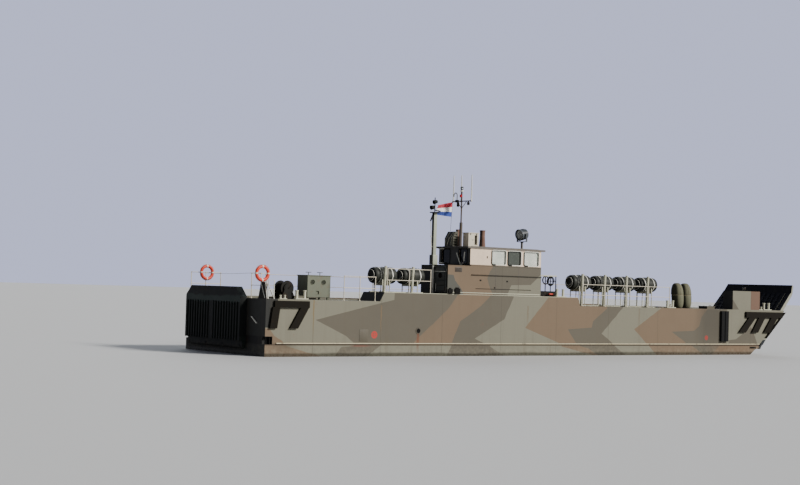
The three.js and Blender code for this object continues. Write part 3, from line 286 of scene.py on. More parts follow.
TOPSIDE = (
    Edge(Paint.SAGE, ((0.66, 0.91), (0.90, 0.46), (1.21, 0.20), (1.25, -5.0))),
    Edge(Paint.DARK, ((0.61, 4.61), (0.92, 4.17), (1.60, 2.56), (2.40, 6.07), (2.55, 6.8))),
    Edge(Paint.BROWN, ((0.65, 8.00), (0.87, 8.24), (1.47, 9.05), (2.21, 9.95), (2.85, 10.49))),
    Edge(Paint.DARK, ((0.68, 10.22), (1.22, 10.50), (1.62, 10.66), (1.96, 11.26), (2.37, 11.94),
                      (2.82, 12.46))),
    Edge(Paint.SAGE, ((0.62, 12.10), (0.82, 11.60), (1.75, 13.40), (2.81, 13.95))),
    Edge(Paint.BROWN, ((0.63, 16.98), (1.35, 14.74), (2.85, 16.23))),
    Edge(Paint.DARK, ((0.63, 18.15), (0.98, 17.84), (1.30, 17.58), (1.40, 19.22), (1.71, 19.29),
                      (2.37, 20.27))),
    Edge(Paint.SAGE, ((0.64, 20.69), (1.10, 19.92), (2.42, 21.40))),
    Edge(Paint.BROWN, ((0.60, 23.19), (1.34, 22.27), (2.43, 24.20))),
    Edge(Paint.DARK, ((0.61, 26.18), (0.72, 26.07), (1.23, 25.06), (1.29, 26.83), (1.56, 27.21),
                      (2.02, 27.37), (2.47, 27.86))),
    Edge(Paint.SAGE, ((0.6, 29.43), (2.5, 29.43))),
    Edge(Paint.DARK, ((0.80, 29.6), (0.85, 30.19), (1.48, 31.36), (2.03, 31.58), (2.10, 36.0))),
    Edge(Paint.SAGE, ((0.65, 31.99), (0.97, 31.80), (1.48, 31.48), (1.52, 31.40))),
)
BELOW_STRAKE = (
    Edge(Paint.SAGE, ((0.05, 2.84), (0.17, 2.24), (0.47, 1.06))),
    Edge(Paint.DARK, ((0.01, 3.60), (0.42, 3.96), (0.47, 4.61))),
    Edge(Paint.SAGE, ((0.07, 5.45), (0.47, 6.07))),
    Edge(Paint.DARK, ((0.0, 9.9), (0.5, 10.2))),
    Edge(Paint.SAGE, ((-0.16, 13.79), (0.45, 12.55))),
    Edge(Paint.BROWN, ((-0.05, 19.66), (0.45, 17.18))),
    Edge(Paint.DARK, ((0.02, 19.67), (0.35, 19.04), (0.47, 18.45))),
    Edge(Paint.SAGE, ((-0.06, 21.80), (0.49, 20.85))),
    Edge(Paint.BROWN, ((-0.03, 24.02), (0.49, 23.36))),
    Edge(Paint.DARK, ((0.0, 27.65), (0.5, 26.65))),
    Edge(Paint.BROWN, ((0.0, 28.2), (0.5, 28.9))),
)
HOUSE_WALL = (
    Edge(Paint.BROWN, ((2.96, 10.80), (3.26, 10.57), (3.53, 10.29), (3.78, 10.20), (3.80, 9.80))),
    Edge(Paint.DARK, ((2.93, 12.63), (3.20, 12.44), (3.67, 12.25), (4.01, 12.41), (4.21, 12.59))),
    Edge(Paint.SAGE, ((2.98, 13.58), (3.39, 13.79), (3.43, 15.03), (3.94, 15.67))),
)
BOW_HOUSE = (
    Edge(Paint.SAGE, ((2.47, 30.40), (3.03, 29.87), (3.10, 29.0))),
    Edge(Paint.PINK_BROWN, ((2.4, 31.37), (3.5, 31.37))),
)


class Wear:
    """The node groups that more than one finish uses."""

    X_REACH: Span = (-6.0, 37.0)
    SOFT_EDGE = 0.015

    def __init__(self) -> None:
        """Builds the groups once."""
        self.places = self.build_places()
        self.camouflage = self.build_camouflage()
        self.weather = self.build_weather()
        self.surface = self.build_surface()

    def build_places(self) -> bpy.types.NodeTree:
        """Returns a group that gives the place on the craft and the way that a face looks."""
        names = ("Along", "Across", "Height", "Upward", "Aftward", "Starboard")
        graph = Group("craft places", {}, {name: "Float" for name in names})
        moved = graph.coordinates().mapped((1.0, 1.0, 1.0), (MID_X, 0.0, -WATERLINE))
        along, across, height = moved.parts()
        forward, port, upward = graph.coordinates("Normal").parts()
        return graph.give(Along=along, Across=across, Height=height, Upward=upward.between(0.6, 0.8),
                          Aftward=forward.between(-0.6, -0.8), Starboard=port.between(-0.6, -0.8))

    def banded(self, along: Value, height: Value, edges: Sequence[Edge], start: Paint, span: Span) -> Value:
        """Returns colours painted one after the other along the craft.

        Args:
            along: The place from the transom.
            height: The height above the waterline.
            edges: The edges, from aft forward.
            start: The colour abaft the first edge.
            span: The heights that the edges cover.
        """
        graph = along.graph
        colour: Value | Colour = start.value
        for edge in edges:
            past = along - graph.curve(height, edge.points, span, self.X_REACH)
            colour = graph.mix(past.between(-self.SOFT_EDGE, self.SOFT_EDGE), colour, edge.paint.value)
        return colour

    def build_camouflage(self) -> bpy.types.NodeTree:
        """Returns the group with the camouflage of topsides and houses, painted shade aft, and the decks'
        grey.
        """
        graph = Group("angular camouflage", {}, {"Colour": "Color", "Deck": "Float"})
        place = graph.use(self.places)
        height = place["Height"]
        wobble = graph.noise(graph.coordinates(), 2.4).scaled(0.10, -0.05)
        on_port = place["Across"].between(-0.2, 0.2) * 2.4
        along = place["Along"] + wobble + on_port
        upper = self.banded(along, height, TOPSIDE, Paint.BROWN, (-0.3, 3.0))
        lower = self.banded(along, height, BELOW_STRAKE, Paint.BROWN, (-0.3, 1.0))
        side = graph.mix(height.between(0.53, 0.56), lower, upper)
        wall = self.banded(along, height, HOUSE_WALL, Paint.GREY, (2.7, 4.5))
        side = graph.mix(height.between(2.885, 2.89), side, wall)
        bow = self.banded(place["Along"], height, BOW_HOUSE, Paint.DARK, (2.3, 3.6))
        on_bow = height.between(2.471, 2.474) * place["Along"].between(28.6, 28.7)
        side = graph.mix(on_bow, side, bow)
        # Painted shade: faces that look aft take the near-black painted shade.
        side = graph.mix(place["Aftward"], side, Paint.PAINTED_SHADE.value)
        side = graph.mix(height.between(0.0, -0.03), side, Paint.BOTTOM.value)
        deck = place["Upward"] * height.between(0.3, 0.4)
        speckle = graph.noise(graph.coordinates(), 90.0, 2.0).between(0.42, 0.62)
        grit = graph.mix(speckle * 0.35, Paint.DECK.value, linear(56, 56, 50))
        return graph.give(Colour=graph.mix(deck, side, grit), Deck=deck)

    def build_weather(self) -> bpy.types.NodeTree:
        """Returns the group that ages a colour: mottling, streaks, rust, salt and the wet edge."""
        graph = Group("sea weather", {"Colour": "Color", "Dirt": "Float", "Rust": "Float"},
                      {"Colour": "Color", "Roughness": "Float", "Height": "Float"})
        place, at = graph.use(self.places), graph.coordinates()
        height = place["Height"]
        broad, fine = graph.noise(at, 0.45, 4.0), graph.noise(at, 6.5, 4.0, 0.65)
        colour = graph.darkened(graph.given["Colour"], fine.scaled(0.16, broad.scaled(0.34, 0.80) - 0.05))
        streaks = graph.noise(at.mapped((3.6, 3.6, 0.22)), 1.0, 5.0, 0.6).between(0.50, 0.72)
        low = height.between(1.3, 0.1).scaled(0.45, 0.35)
        dirt = streaks * (1.0 - place["Upward"]) * low
        dirt = dirt.maths("MULTIPLY", graph.given["Dirt"], clamp=True)
        colour = graph.mix(dirt * 0.62, colour, linear(84, 74, 56))
        spots = graph.noise(at, 1.7, 5.0, 0.7).between(0.60, 0.72)
        drips = graph.noise(at.mapped((9.0, 9.0, 0.7)), 1.0, 3.0).between(0.48, 0.66)
        rust = spots.maths("MULTIPLY", drips * graph.given["Rust"], clamp=True)
        colour = graph.mix(rust, colour, linear(122, 78, 48))
        salt = height.between(0.62, 0.12) * fine.between(0.35, 0.7)
        colour = graph.mix(salt * 0.13, colour, linear(186, 180, 156))
        wet = broad.scaled(-0.16, height).between(0.13, 0.02) * height.between(-0.4, -0.3)
        colour = graph.mix(wet * 0.72, colour, linear(40, 38, 28))
        rough = wet.scaled(-0.35, fine.scaled(0.22, 0.52), clamp=True)
        dents = graph.noise(at.mapped((0.75, 0.75, 1.1)), 1.0, 2.0) * 0.9
        return graph.give(Colour=colour, Roughness=rough, Height=fine.scaled(0.05, dents))

    def build_surface(self) -> bpy.types.NodeTree:
        """Returns the group that breaks up a small fitting's colour and gives it grain."""
        graph = Group("handled surface",
                      {"Colour": "Color", "Worn": "Color", "Amount": "Float", "Scale": "Float"},
                      {"Colour": "Color", "Grain": "Float", "Roughness": "Float"})
        given, at = graph.given, graph.coordinates()
        patches = graph.noise(at, given["Scale"], 5.0, 0.65)
        worn = patches.between(0.52, 0.70).maths("MULTIPLY", given["Amount"], clamp=True)
        colour = graph.mix(worn, given["Colour"], given["Worn"])
        colour = graph.darkened(colour, patches.scaled(0.35, 0.82))
        return graph.give(Colour=colour, Grain=patches.scaled(0.5, graph.noise(at, 160.0, 2.0)),
                          Roughness=patches.scaled(0.3, -0.12))


class MaterialTree(Graph):
    """A new material with its shader, ready to be fed."""

    def __init__(self, name: str) -> None:
        """Makes the material under that name."""
        self.material = bpy.data.materials.new(name)
        self.material.use_nodes = True
        super().__init__(self.material.node_tree)
        self.shader = self.tree.nodes["Principled BSDF"]

    def bump(self, height: Value, strength: float, distance: float) -> None:
        """Feeds the shader's normal from a height."""
        made = self.node("ShaderNodeBump", Strength=strength, Distance=distance)
        self.feed(made.inputs["Height"], height)
        self.feed(self.shader.inputs["Normal"], self.out(made))

    def painted_aft_shade(self, wear: Wear, colour: Value, aft: Colour | None) -> Value:
        """Returns the colour with painted shade, another colour on faces that look aft, where that is given.
        """
        return colour if aft is None else self.mix(self.use(wear.places)["Aftward"], colour, aft)

    def finish(self, colour: Value | Colour, roughness: Value | float, specular: float = 0.5,
               **inputs: float) -> bpy.types.Material:
        """Feeds the shader and returns the material. In an input's name, an underscore is a blank."""
        named = {"Base Color": colour, "Roughness": roughness, "Specular IOR Level": specular}
        named.update((name.replace("_", " "), value) for name, value in inputs.items())
        for name, value in named.items():
            self.feed(self.shader.inputs[name], value)
        return self.material


@dataclass(frozen=True)
class Stain:
    """A run of rust or dirt down the topside: place from the transom, its top, its length and half width."""

    along: float
    top: float
    length: float
    half: float
    colour: Colour
    amount: float = 0.75


@dataclass(frozen=True)
class CamouflageFinish:
    """Angular camouflage with weathering, a dark stern patch, painted shade and highlight, spots, seams and
    stains.
    """

    name: str
    dirt: float = 0.55
    rust: float = 0.30
    stains: tuple[Stain, ...] = ()
    seams: tuple[float, ...] = ()
    rings: tuple[tuple[float, float, float, float], ...] = ()

    def make(self, wear: Wear) -> bpy.types.Material:
        """Returns the material."""
        tree = MaterialTree(self.name)
        place, pattern = tree.use(wear.places), tree.use(wear.camouflage)
        along, height, beam = place["Along"], place["Height"], abs(place["Across"])
        outside = beam.between(HALF_BEAM - 0.03, HALF_BEAM - 0.01)
        # A dark patch on the sides at the stern, above 1.235 m.
        near_stern = along.between(0.60, 0.585) * outside
        colour = tree.mix(near_stern * height.between(1.235, 1.25), pattern["Colour"], linear(30, 31, 28))
        # Painted shade: the mooring pockets at the stern are painted near black.
        pocket = height.between(0.515, 0.525) * height.between(0.875, 0.865) * along.between(0.375, 0.365)
        colour = tree.mix(pocket, colour, Paint.BLACK.value)
        for ring in self.rings:
            colour = self.spot(colour, along, height, outside, ring)
        jitter = tree.noise(tree.coordinates().mapped((2.0, 2.0, 5.0)), 1.0).scaled(0.10, -0.05)
        for stain in self.stains:
            colour = self.run_down(colour, along + jitter, height, outside, stain)
        colour = self.strake(colour, height, beam, outside)
        weather = tree.use(wear.weather, Colour=colour, Dirt=self.dirt, Rust=self.rust)
        colour, relief = weather["Colour"], weather["Height"]
        for seam in self.seams:
            line = abs(along - seam).between(0.022, 0.008) * outside
            colour = tree.mix(line * 0.45, colour, linear(70, 66, 54))
            relief = line.scaled(0.35, relief)
        tree.bump(relief, 0.35, 0.02)
        return tree.finish(colour, pattern["Deck"].scaled(0.2, weather["Roughness"], clamp=True), 0.35)

    def spot(self, colour: Value, along: Value, height: Value, outside: Value,
             ring: tuple[float, float, float, float]) -> Value:
        """Paints one red spot or crossed ring, given its place, height, inner and outer radius."""
        place, level, inner, outer = ring
        run, rise = along - place, height - level
        reach = (run.maths("POWER", 2.0) + rise.maths("POWER", 2.0)).maths("SQRT")
        disc = reach.between(outer + 0.01, outer - 0.01)
        if inner > 0:
            arms = abs(run).maths("MINIMUM", abs(rise)).between(0.035, 0.02)
            disc = disc * reach.between(inner - 0.01, inner + 0.01).maths("MAXIMUM", arms)
        return colour.graph.mix(disc * outside * 0.85, colour, Paint.RED.value)

    def strake(self, colour: Value, height: Value, beam: Value, outside: Value) -> Value:
        """Paints a chipped highlight on the strake's top and a rust-brown shadow under it, given the place
        off the midline.
        """
        tree = colour.graph
        chips = tree.noise(tree.coordinates(), 3.0, 4.0, 0.7).between(0.25, 0.45)
        proud = beam.between(HALF_BEAM + 0.003, HALF_BEAM + 0.006) * chips
        # Pale along the strake's top: a painted highlight, broken into chips of worn paint.
        top = height.between(0.560, 0.570) * proud * height.between(0.660, 0.650)
        colour = tree.mix(top, colour, linear(206, 196, 166))
        # A painted shadow under the strake, in a rust brown that stands for rust as well.
        shadow_and_rust = height.between(0.562, 0.556) * height.between(0.478, 0.494)
        return tree.mix(shadow_and_rust * outside * 0.8, colour, linear(62, 48, 34))

    def run_down(self, colour: Value, along: Value, height: Value, outside: Value, stain: Stain) -> Value:
        """Draws one stain that widens and fades downwards."""
        below = stain.top - height
        inside = below.between(-0.01, 0.02) * below.between(stain.length, stain.length * 0.2)
        width = abs(along - stain.along).between(stain.half * 1.6, stain.half * 0.3)
        return colour.graph.mix(inside * width * outside * stain.amount, colour, stain.colour)


@dataclass(frozen=True)
class PaintFinish:
    """A plain paint on steel: colour, how dull it is, how weathered, and what shows where it is worn."""

    name: str
    colour: Colour
    roughness: float = 0.6
    dirt: float = 0.5
    rust: float = 0.25
    worn: Colour = linear(96, 84, 66)
    wear: float = 0.35
    scale: float = 4.0
    metallic: float = 0.0
    # Painted shade: the darker colour drawn on faces that look aft.
    aft: Colour | None = None

    def make(self, wear: Wear) -> bpy.types.Material:
        """Returns the material, with painted shade, its aft colour, on faces that look aft where one is
        given.
        """
        tree = MaterialTree(self.name)
        handled = tree.use(wear.surface, Colour=self.colour, Worn=self.worn, Amount=self.wear,
                           Scale=self.scale)
        colour = tree.painted_aft_shade(wear, handled["Colour"], self.aft)
        weather = tree.use(wear.weather, Colour=colour, Dirt=self.dirt, Rust=self.rust)
        rough = handled["Roughness"].maths("ADD", self.roughness, clamp=True)
        tree.bump(handled["Grain"], 0.18, 0.004)
        return tree.finish(weather["Colour"], rough, 0.5 if max(self.colour) > 0.03 else 0.2,
                           Metallic=self.metallic)


@dataclass(frozen=True)
class RampFinish:
    """Dark ramp paint with a painted highlight on faces that look to starboard, the ribs' sides, and a pale
    starboard edge.
    """

    name: str
    colour: Colour
    # The painted highlight, drawn on faces that look to starboard, the ribs' sides among them.
    ribs: Colour
    edge: Colour
    edge_across: float
    band: Span = (0.0, 0.0)

    def make(self, wear: Wear) -> bpy.types.Material:
        """Returns the material, with a faint lighter band over the band's heights where they are given."""
        tree = MaterialTree(self.name)
        handled = tree.use(wear.surface, Colour=self.colour, Worn=linear(56, 56, 54), Amount=0.35,
                           Scale=1.6)
        place = tree.use(wear.places)
        # Painted highlight: faces that look to starboard take the ribs' lighter colour.
        colour = tree.mix(place["Starboard"], handled["Colour"], self.ribs)
        low, high = self.band
        if high > low:
            height = tree.noise(tree.coordinates(), 1.3).scaled(0.35, place["Height"])
            lighter_band = height.between(low, low + 0.05) * height.between(high, high - 0.12)
            colour = tree.mix(lighter_band * 0.9, colour, linear(46, 56, 53))
        outer = place["Across"].between(self.edge_across, self.edge_across - 0.02)
        outer = outer * place["Height"].between(0.75, 0.85) * place["Starboard"]
        colour = tree.mix(outer, colour, self.edge)
        weather = tree.use(wear.weather, Colour=colour, Dirt=0.35, Rust=0.22)
        tree.bump(handled["Grain"], 0.18, 0.004)
        return tree.finish(weather["Colour"], handled["Roughness"].maths("ADD", 0.5, clamp=True), 0.16)


@dataclass(frozen=True)
class RubberFinish:
    """Sun-bleached rubber or moulded plastic with scuffs."""

    name: str
    colour: Colour
    scuffed: Colour
    roughness: float = 0.82
    amount: float = 0.5
    scale: float = 7.0
    # Painted shade: the darker colour drawn on faces that look aft.
    aft: Colour | None = None

    def make(self, wear: Wear) -> bpy.types.Material:
        """Returns the material, with painted shade, its aft colour, on faces that look aft where one is
        given.
        """
        tree = MaterialTree(self.name)
        handled = tree.use(wear.surface, Colour=self.colour, Worn=self.scuffed, Amount=self.amount,
                           Scale=self.scale)
        colour = tree.painted_aft_shade(wear, handled["Colour"], self.aft)
        tree.bump(handled["Grain"], 0.35, 0.006)
        return tree.finish(colour, handled["Roughness"].maths("ADD", self.roughness, clamp=True), 0.16)


@dataclass(frozen=True)
class GlassFinish:
    """Glass with a tint and a film of salt; where little light goes through, they show as a painted
    reflection.
    """

    name: str
    tint_and_reflection: Colour
    film_and_reflection: Colour
    through: float = 0.82
    clear: Span = (0.0, 0.0)
    shaded: float = 0.0

    def make(self, wear: Wear) -> bpy.types.Material:
        """Returns the material, painted darker as shade over the clear span along the craft and abaft the
        shaded place.
        """
        tree = MaterialTree(self.name)
        haze = tree.noise(tree.coordinates(), 3.0, 4.0).between(0.35, 0.75)
        colour = tree.mix(haze, self.tint_and_reflection, self.film_and_reflection)
        low, high = self.clear
        if high > low:
            # Painted shade: over the clear span the glass shows the dark room behind, and abaft the shaded
            # place it is near black.
            along = tree.use(wear.places)["Along"]
            inside = along.between(low, low + 0.05) * along.between(high, high - 0.05)
            colour = tree.mix(inside * 0.92, colour, linear(62, 68, 62))
            colour = tree.mix(along.between(self.shaded + 0.05, self.shaded), colour, linear(16, 17, 17))
        return tree.finish(colour, haze.scaled(0.10, 0.03), Transmission_Weight=self.through, IOR=1.45)


@dataclass(frozen=True)
class ClothFinish:
    """Bunting in three stripes across its height, read from the piece's own UV map, with a plain weave."""

    name: str
    stripes: tuple[Colour, Colour, Colour]

    def make(self, wear: Wear) -> bpy.types.Material:
        """Returns the material. Cloth takes no wear from the shared groups."""
        tree = MaterialTree(self.name)
        flat = tree.out(tree.node("ShaderNodeUVMap", uv_map="cloth"))
        up = flat.parts()[1]
        low, middle, high = self.stripes
        colour = tree.mix(up.between(0.330, 0.336), low, middle)
        colour = tree.mix(up.between(0.664, 0.670), colour, high)
        fibres = tree.noise(flat.mapped((60.0, 420.0, 1.0)), 1.0, 3.0)
        soiled = tree.noise(flat, 5.0, 4.0).between(0.55, 0.8)
        colour = tree.mix(soiled * 0.18, colour, linear(120, 112, 100))
        warp = tree.node("ShaderNodeTexWave", Scale=90.0, Distortion=0.4)
        tree.feed(warp.inputs["Vector"], flat)
        tree.bump(tree.out(warp, "Fac") + fibres, 0.25, 0.002)
        return tree.finish(colour, fibres.scaled(0.2, 0.72), Sheen_Weight=0.25)


@dataclass(frozen=True)
class BandedFinish:
    """A lifebuoy's shell: four pale bands round an orange ring, placed by angle about its own centre."""

    name: str
    shell: Colour
    band: Colour
    centre: Vector

    def make(self, wear: Wear) -> bpy.types.Material:
        """Returns the material."""
        tree = MaterialTree(self.name)
        along, _, height = tree.coordinates().mapped((1.0, 1.0, 1.0), tuple(-self.centre)).parts()
        quarters = height.maths("ARCTAN2", along).scaled(2 / math.pi, 2.5).maths("FRACT")
        banded = tree.mix(abs(quarters - 0.5).between(0.075, 0.065), self.shell, self.band)
        handled = tree.use(wear.surface, Colour=banded, Worn=linear(150, 96, 74), Amount=0.35, Scale=9.0)
        tree.bump(handled["Grain"], 0.12, 0.003)
        return tree.finish(handled["Colour"], handled["Roughness"].maths("ADD", 0.45, clamp=True))


class Surface(Enum):
    """What a piece is finished with: a plain name, and the record's slot."""

    HULL = "topsides", "camouflage_paint"
    BAND = "window band", "camouflage_paint"
    ROOF = "roof", "camouflage_paint"
    FITTING = "fitting", "grey_green_paint"
    UNIT = "roof unit", "grey_green_paint"
    MAST = "mast", "grey_green_paint"
    POST = "post", "grey_green_paint"
    VENT = "vent box", "grey_green_paint"
    DARK = "dark fitting", "dark_paint"
    DOOR = "aft door", "dark_paint"
    LAMP = "lamp housing", "dark_paint"
    BOW_RAMP = "bow ramp", "dark_paint"
    STERN_RAMP = "stern ramp", "dark_paint"
    RUSTY = "hot pipe", "dark_paint"
    # Near black, mostly painted shade in openings and recesses.
    HOLE = "recess", "dark_paint"
    PALE = "pale fitting", "pale_paint"
    WHITE = "white frame", "pale_paint"
    CREAM = "cream locker", "pale_paint"
    RUBBER = "fender", "fender_rubber"
    POST_RUBBER = "post fender", "fender_rubber"
    GASKET = "gasket", "fender_rubber"
    OLIVE = "tube fender", "fender_rubber"
    ROPE = "rope", "fender_rubber"
    GLASS = "pane", "window_glass"
    LENS = "lamp lens", "window_glass"
    RED_LENS = "red lens", "window_glass"
    CLOTH = "bunting", "ensign_cloth"
    BUOY = "lifebuoy", "lifebuoy_plastic"
    PORT_BUOY = "port lifebuoy", "lifebuoy_plastic"
    RED = "red fitting", "lifebuoy_plastic"
    CANISTER = "canister", "canister_plastic"
    STEEL = "bare steel", "jet_steel"

    @property
    def slot(self) -> str:
        """Returns the record's slot."""
        return self.value[1]


Recipe = (CamouflageFinish | PaintFinish | RampFinish | RubberFinish | GlassFinish | ClothFinish
          | BandedFinish)


def recipes() -> dict[Surface, Recipe]:
    """Returns how each surface is finished."""
    grime = linear(74, 68, 54)
    rust = linear(112, 74, 50)
    orange, pale = linear(214, 62, 38), linear(224, 214, 196)
    # Each aft= colour below is painted shade, drawn on faces that look aft.
    return {
        Surface.HULL: CamouflageFinish(
            "topside camouflage",
            stains=(Stain(8.20, 1.04, 1.05, 0.07, linear(104, 62, 40), 0.85),
                    Stain(2.44, 2.46, 1.85, 0.035, linear(130, 108, 66)),
                    Stain(6.08, 2.30, 1.6, 0.03, linear(132, 106, 71), 0.6),
                    Stain(14.9, 2.42, 1.3, 0.05, linear(98, 80, 57), 0.45),
                    Stain(22.6, 2.42, 1.5, 0.05, linear(98, 80, 57), 0.4),
                    Stain(1.0, 0.62, 0.7, 0.5, grime, 0.5),
                    Stain(28.15, 2.46, 3.2, 0.95, linear(60, 56, 47), 0.6),
                    Stain(29.9, 0.52, 1.2, 1.6, linear(104, 80, 58), 0.5),
                    Stain(5.0, 0.55, 0.16, 0.45, linear(138, 62, 46), 0.6)),
            seams=(2.44, 6.08, 9.6, 13.2, 16.8, 20.4, 24.0, 27.6, 31.4),
            rings=((5.73, 0.97, 0.09, 0.165), (27.80, 0.92, 0.0, 0.13))),
        Surface.BAND: PaintFinish("wheelhouse cream", Paint.CREAM.value, 0.5, 0.3, 0.1, grime, 0.1,
                                  aft=Paint.PAINTED_SHADE.value),
        Surface.ROOF: PaintFinish("wheelhouse roof", Paint.ROOF.value, 0.62, 0.45, 0.3, grime, 0.4,
                                  aft=Paint.PAINTED_SHADE.value),
        Surface.FITTING: PaintFinish("grey green fittings", linear(92, 92, 79), 0.6, 0.6, 0.35, grime,
                                     0.45),
        Surface.UNIT: PaintFinish("roof unit grey", linear(83, 83, 72), 0.6, 0.5, 0.3, grime, 0.4,
                                  aft=linear(26, 27, 25)),
        Surface.MAST: PaintFinish("mast grey brown", linear(80, 73, 66), 0.6, 0.5, 0.3, rust, 0.3),
        Surface.POST: PaintFinish("signal post pale green", linear(164, 170, 152), 0.55, 0.5, 0.3, grime,
                                  0.2, aft=linear(30, 31, 29)),
        Surface.VENT: PaintFinish("vent box green", linear(101, 106, 89), 0.6, 0.55, 0.4, rust, 0.25),
        Surface.DARK: PaintFinish("dark fittings", linear(20, 21, 18), 0.62, 0.4, 0.2, rust, 0.2),
        Surface.DOOR: PaintFinish("aft door", linear(56, 60, 58), 0.6, 0.4, 0.2, rust, 0.2),
        Surface.LAMP: PaintFinish("searchlight blue grey", linear(68, 74, 80), 0.4, 0.3, 0.15, grime, 0.3,
                                  aft=linear(36, 38, 40)),
        Surface.BOW_RAMP: RampFinish("bow ramp navy", linear(12, 14, 21), linear(40, 44, 48),
                                     linear(150, 150, 136), -2.2),
        Surface.STERN_RAMP: RampFinish("stern ramp green black", linear(11, 14, 14), linear(34, 42, 38),
                                       linear(24, 28, 27), -1.6, (2.42, 2.78)),
        Surface.RUSTY: PaintFinish("heat browned steel", linear(112, 82, 68), 0.75, 0.6, 0.6, rust, 0.5,
                                   aft=linear(44, 34, 32)),
        Surface.HOLE: PaintFinish("unlit recess", Paint.BLACK.value, 0.9, 0.1, 0.0, Paint.BLACK.value, 0.0),
        Surface.PALE: PaintFinish("pale fittings", linear(190, 190, 168), 0.55, 0.45, 0.35, rust, 0.22,
                                  7.0),
        Surface.WHITE: PaintFinish("white frames", Paint.WHITE.value, 0.45, 0.3, 0.15, grime, 0.15, 8.0),
        Surface.CREAM: PaintFinish("cream locker", linear(214, 206, 186), 0.5, 0.35, 0.2, grime, 0.15),
        Surface.RUBBER: RubberFinish("fender rubber", linear(23, 20, 14), linear(38, 32, 22)),
        Surface.POST_RUBBER: RubberFinish("post fender rubber", linear(20, 21, 22), linear(42, 41, 37)),
        Surface.GASKET: RubberFinish("window gasket", linear(22, 22, 22), linear(44, 44, 42), 0.6, 0.2),
        # The tube fenders' darker aft sides are painted shade.
        Surface.OLIVE: RubberFinish("tube fender", linear(108, 108, 89), linear(84, 80, 62), 0.7, 0.4, 3.0,
                                    aft=linear(52, 52, 42)),
        Surface.ROPE: RubberFinish("laid rope", linear(150, 140, 116), linear(104, 94, 74), 0.9, 0.6, 30.0),
        # The window glass is pale with little light going through: a painted reflection of the bright
        # surroundings.
        Surface.GLASS: GlassFinish("window glass", linear(222, 230, 220), linear(244, 246, 238), 0.3,
                                   (13.50, 14.40), 11.5),
        Surface.LENS: GlassFinish("lamp lens", linear(222, 226, 224), linear(226, 232, 224)),
        Surface.RED_LENS: GlassFinish("red lamp lens", linear(214, 40, 52), linear(226, 90, 90), 0.4),
        Surface.CLOTH: ClothFinish("ensign bunting", (linear(44, 72, 158), linear(244, 244, 242),
                                                      linear(192, 40, 62))),
        Surface.BUOY: BandedFinish("lifebuoy orange", orange, pale,
                                   station(0.15, -2.81, 3.55)),
        Surface.PORT_BUOY: BandedFinish("port lifebuoy orange", orange, pale,
                                        station(0.89, 3.263, 3.55)),
        Surface.RED: PaintFinish("red fittings", linear(190, 58, 40), 0.5, 0.3, 0.2, grime, 0.3),
        # The canisters' near-black aft ends are painted shade.
        Surface.CANISTER: RubberFinish("canister plastic", linear(52, 54, 50), linear(82, 82, 75), 0.45,
                                       0.4, 2.0, aft=linear(20, 21, 19)),
        Surface.STEEL: PaintFinish("jet steel", linear(138, 136, 130), 0.45, 0.4, 0.3, linear(90, 84, 72),
                                   0.5, 3.0, 0.7),
    }


FINISHES: dict[Surface, bpy.types.Material] = {}


def coat(made: bpy.types.Object, surface: Surface) -> None:
    """Gives an object one finish."""
    made.data.materials.clear()
    made.data.materials.append(FINISHES[surface])


def link(name: str, shape: bmesh.types.BMesh, shift: Vector) -> bpy.types.Object:
    """Moves a finished shape, and returns it as an object in the scene."""
    bmesh.ops.translate(shape, verts=shape.verts, vec=shift)
    data = bpy.data.meshes.new(name)
    shape.to_mesh(data)
    shape.free()
    made = bpy.data.objects.new(name, data)
    bpy.context.scene.collection.objects.link(made)
    return made


def facing(axis: Point) -> Matrix:
    """Returns the turn from upright to the axis."""
    return Vector(axis).to_track_quat("Z", "Y").to_matrix().to_4x4()


def round_off(shape: bmesh.types.BMesh, edges: Sequence[bmesh.types.BMEdge], bevel: float,
              segments: int = 2) -> None:
    """Rounds the edges, unless the bevel is nought."""
    if bevel:
        bmesh.ops.bevel(shape, geom=edges, offset=bevel, offset_type="OFFSET", segments=segments,
                        profile=0.5, affect="EDGES", material=-1, clamp_overlap=True)


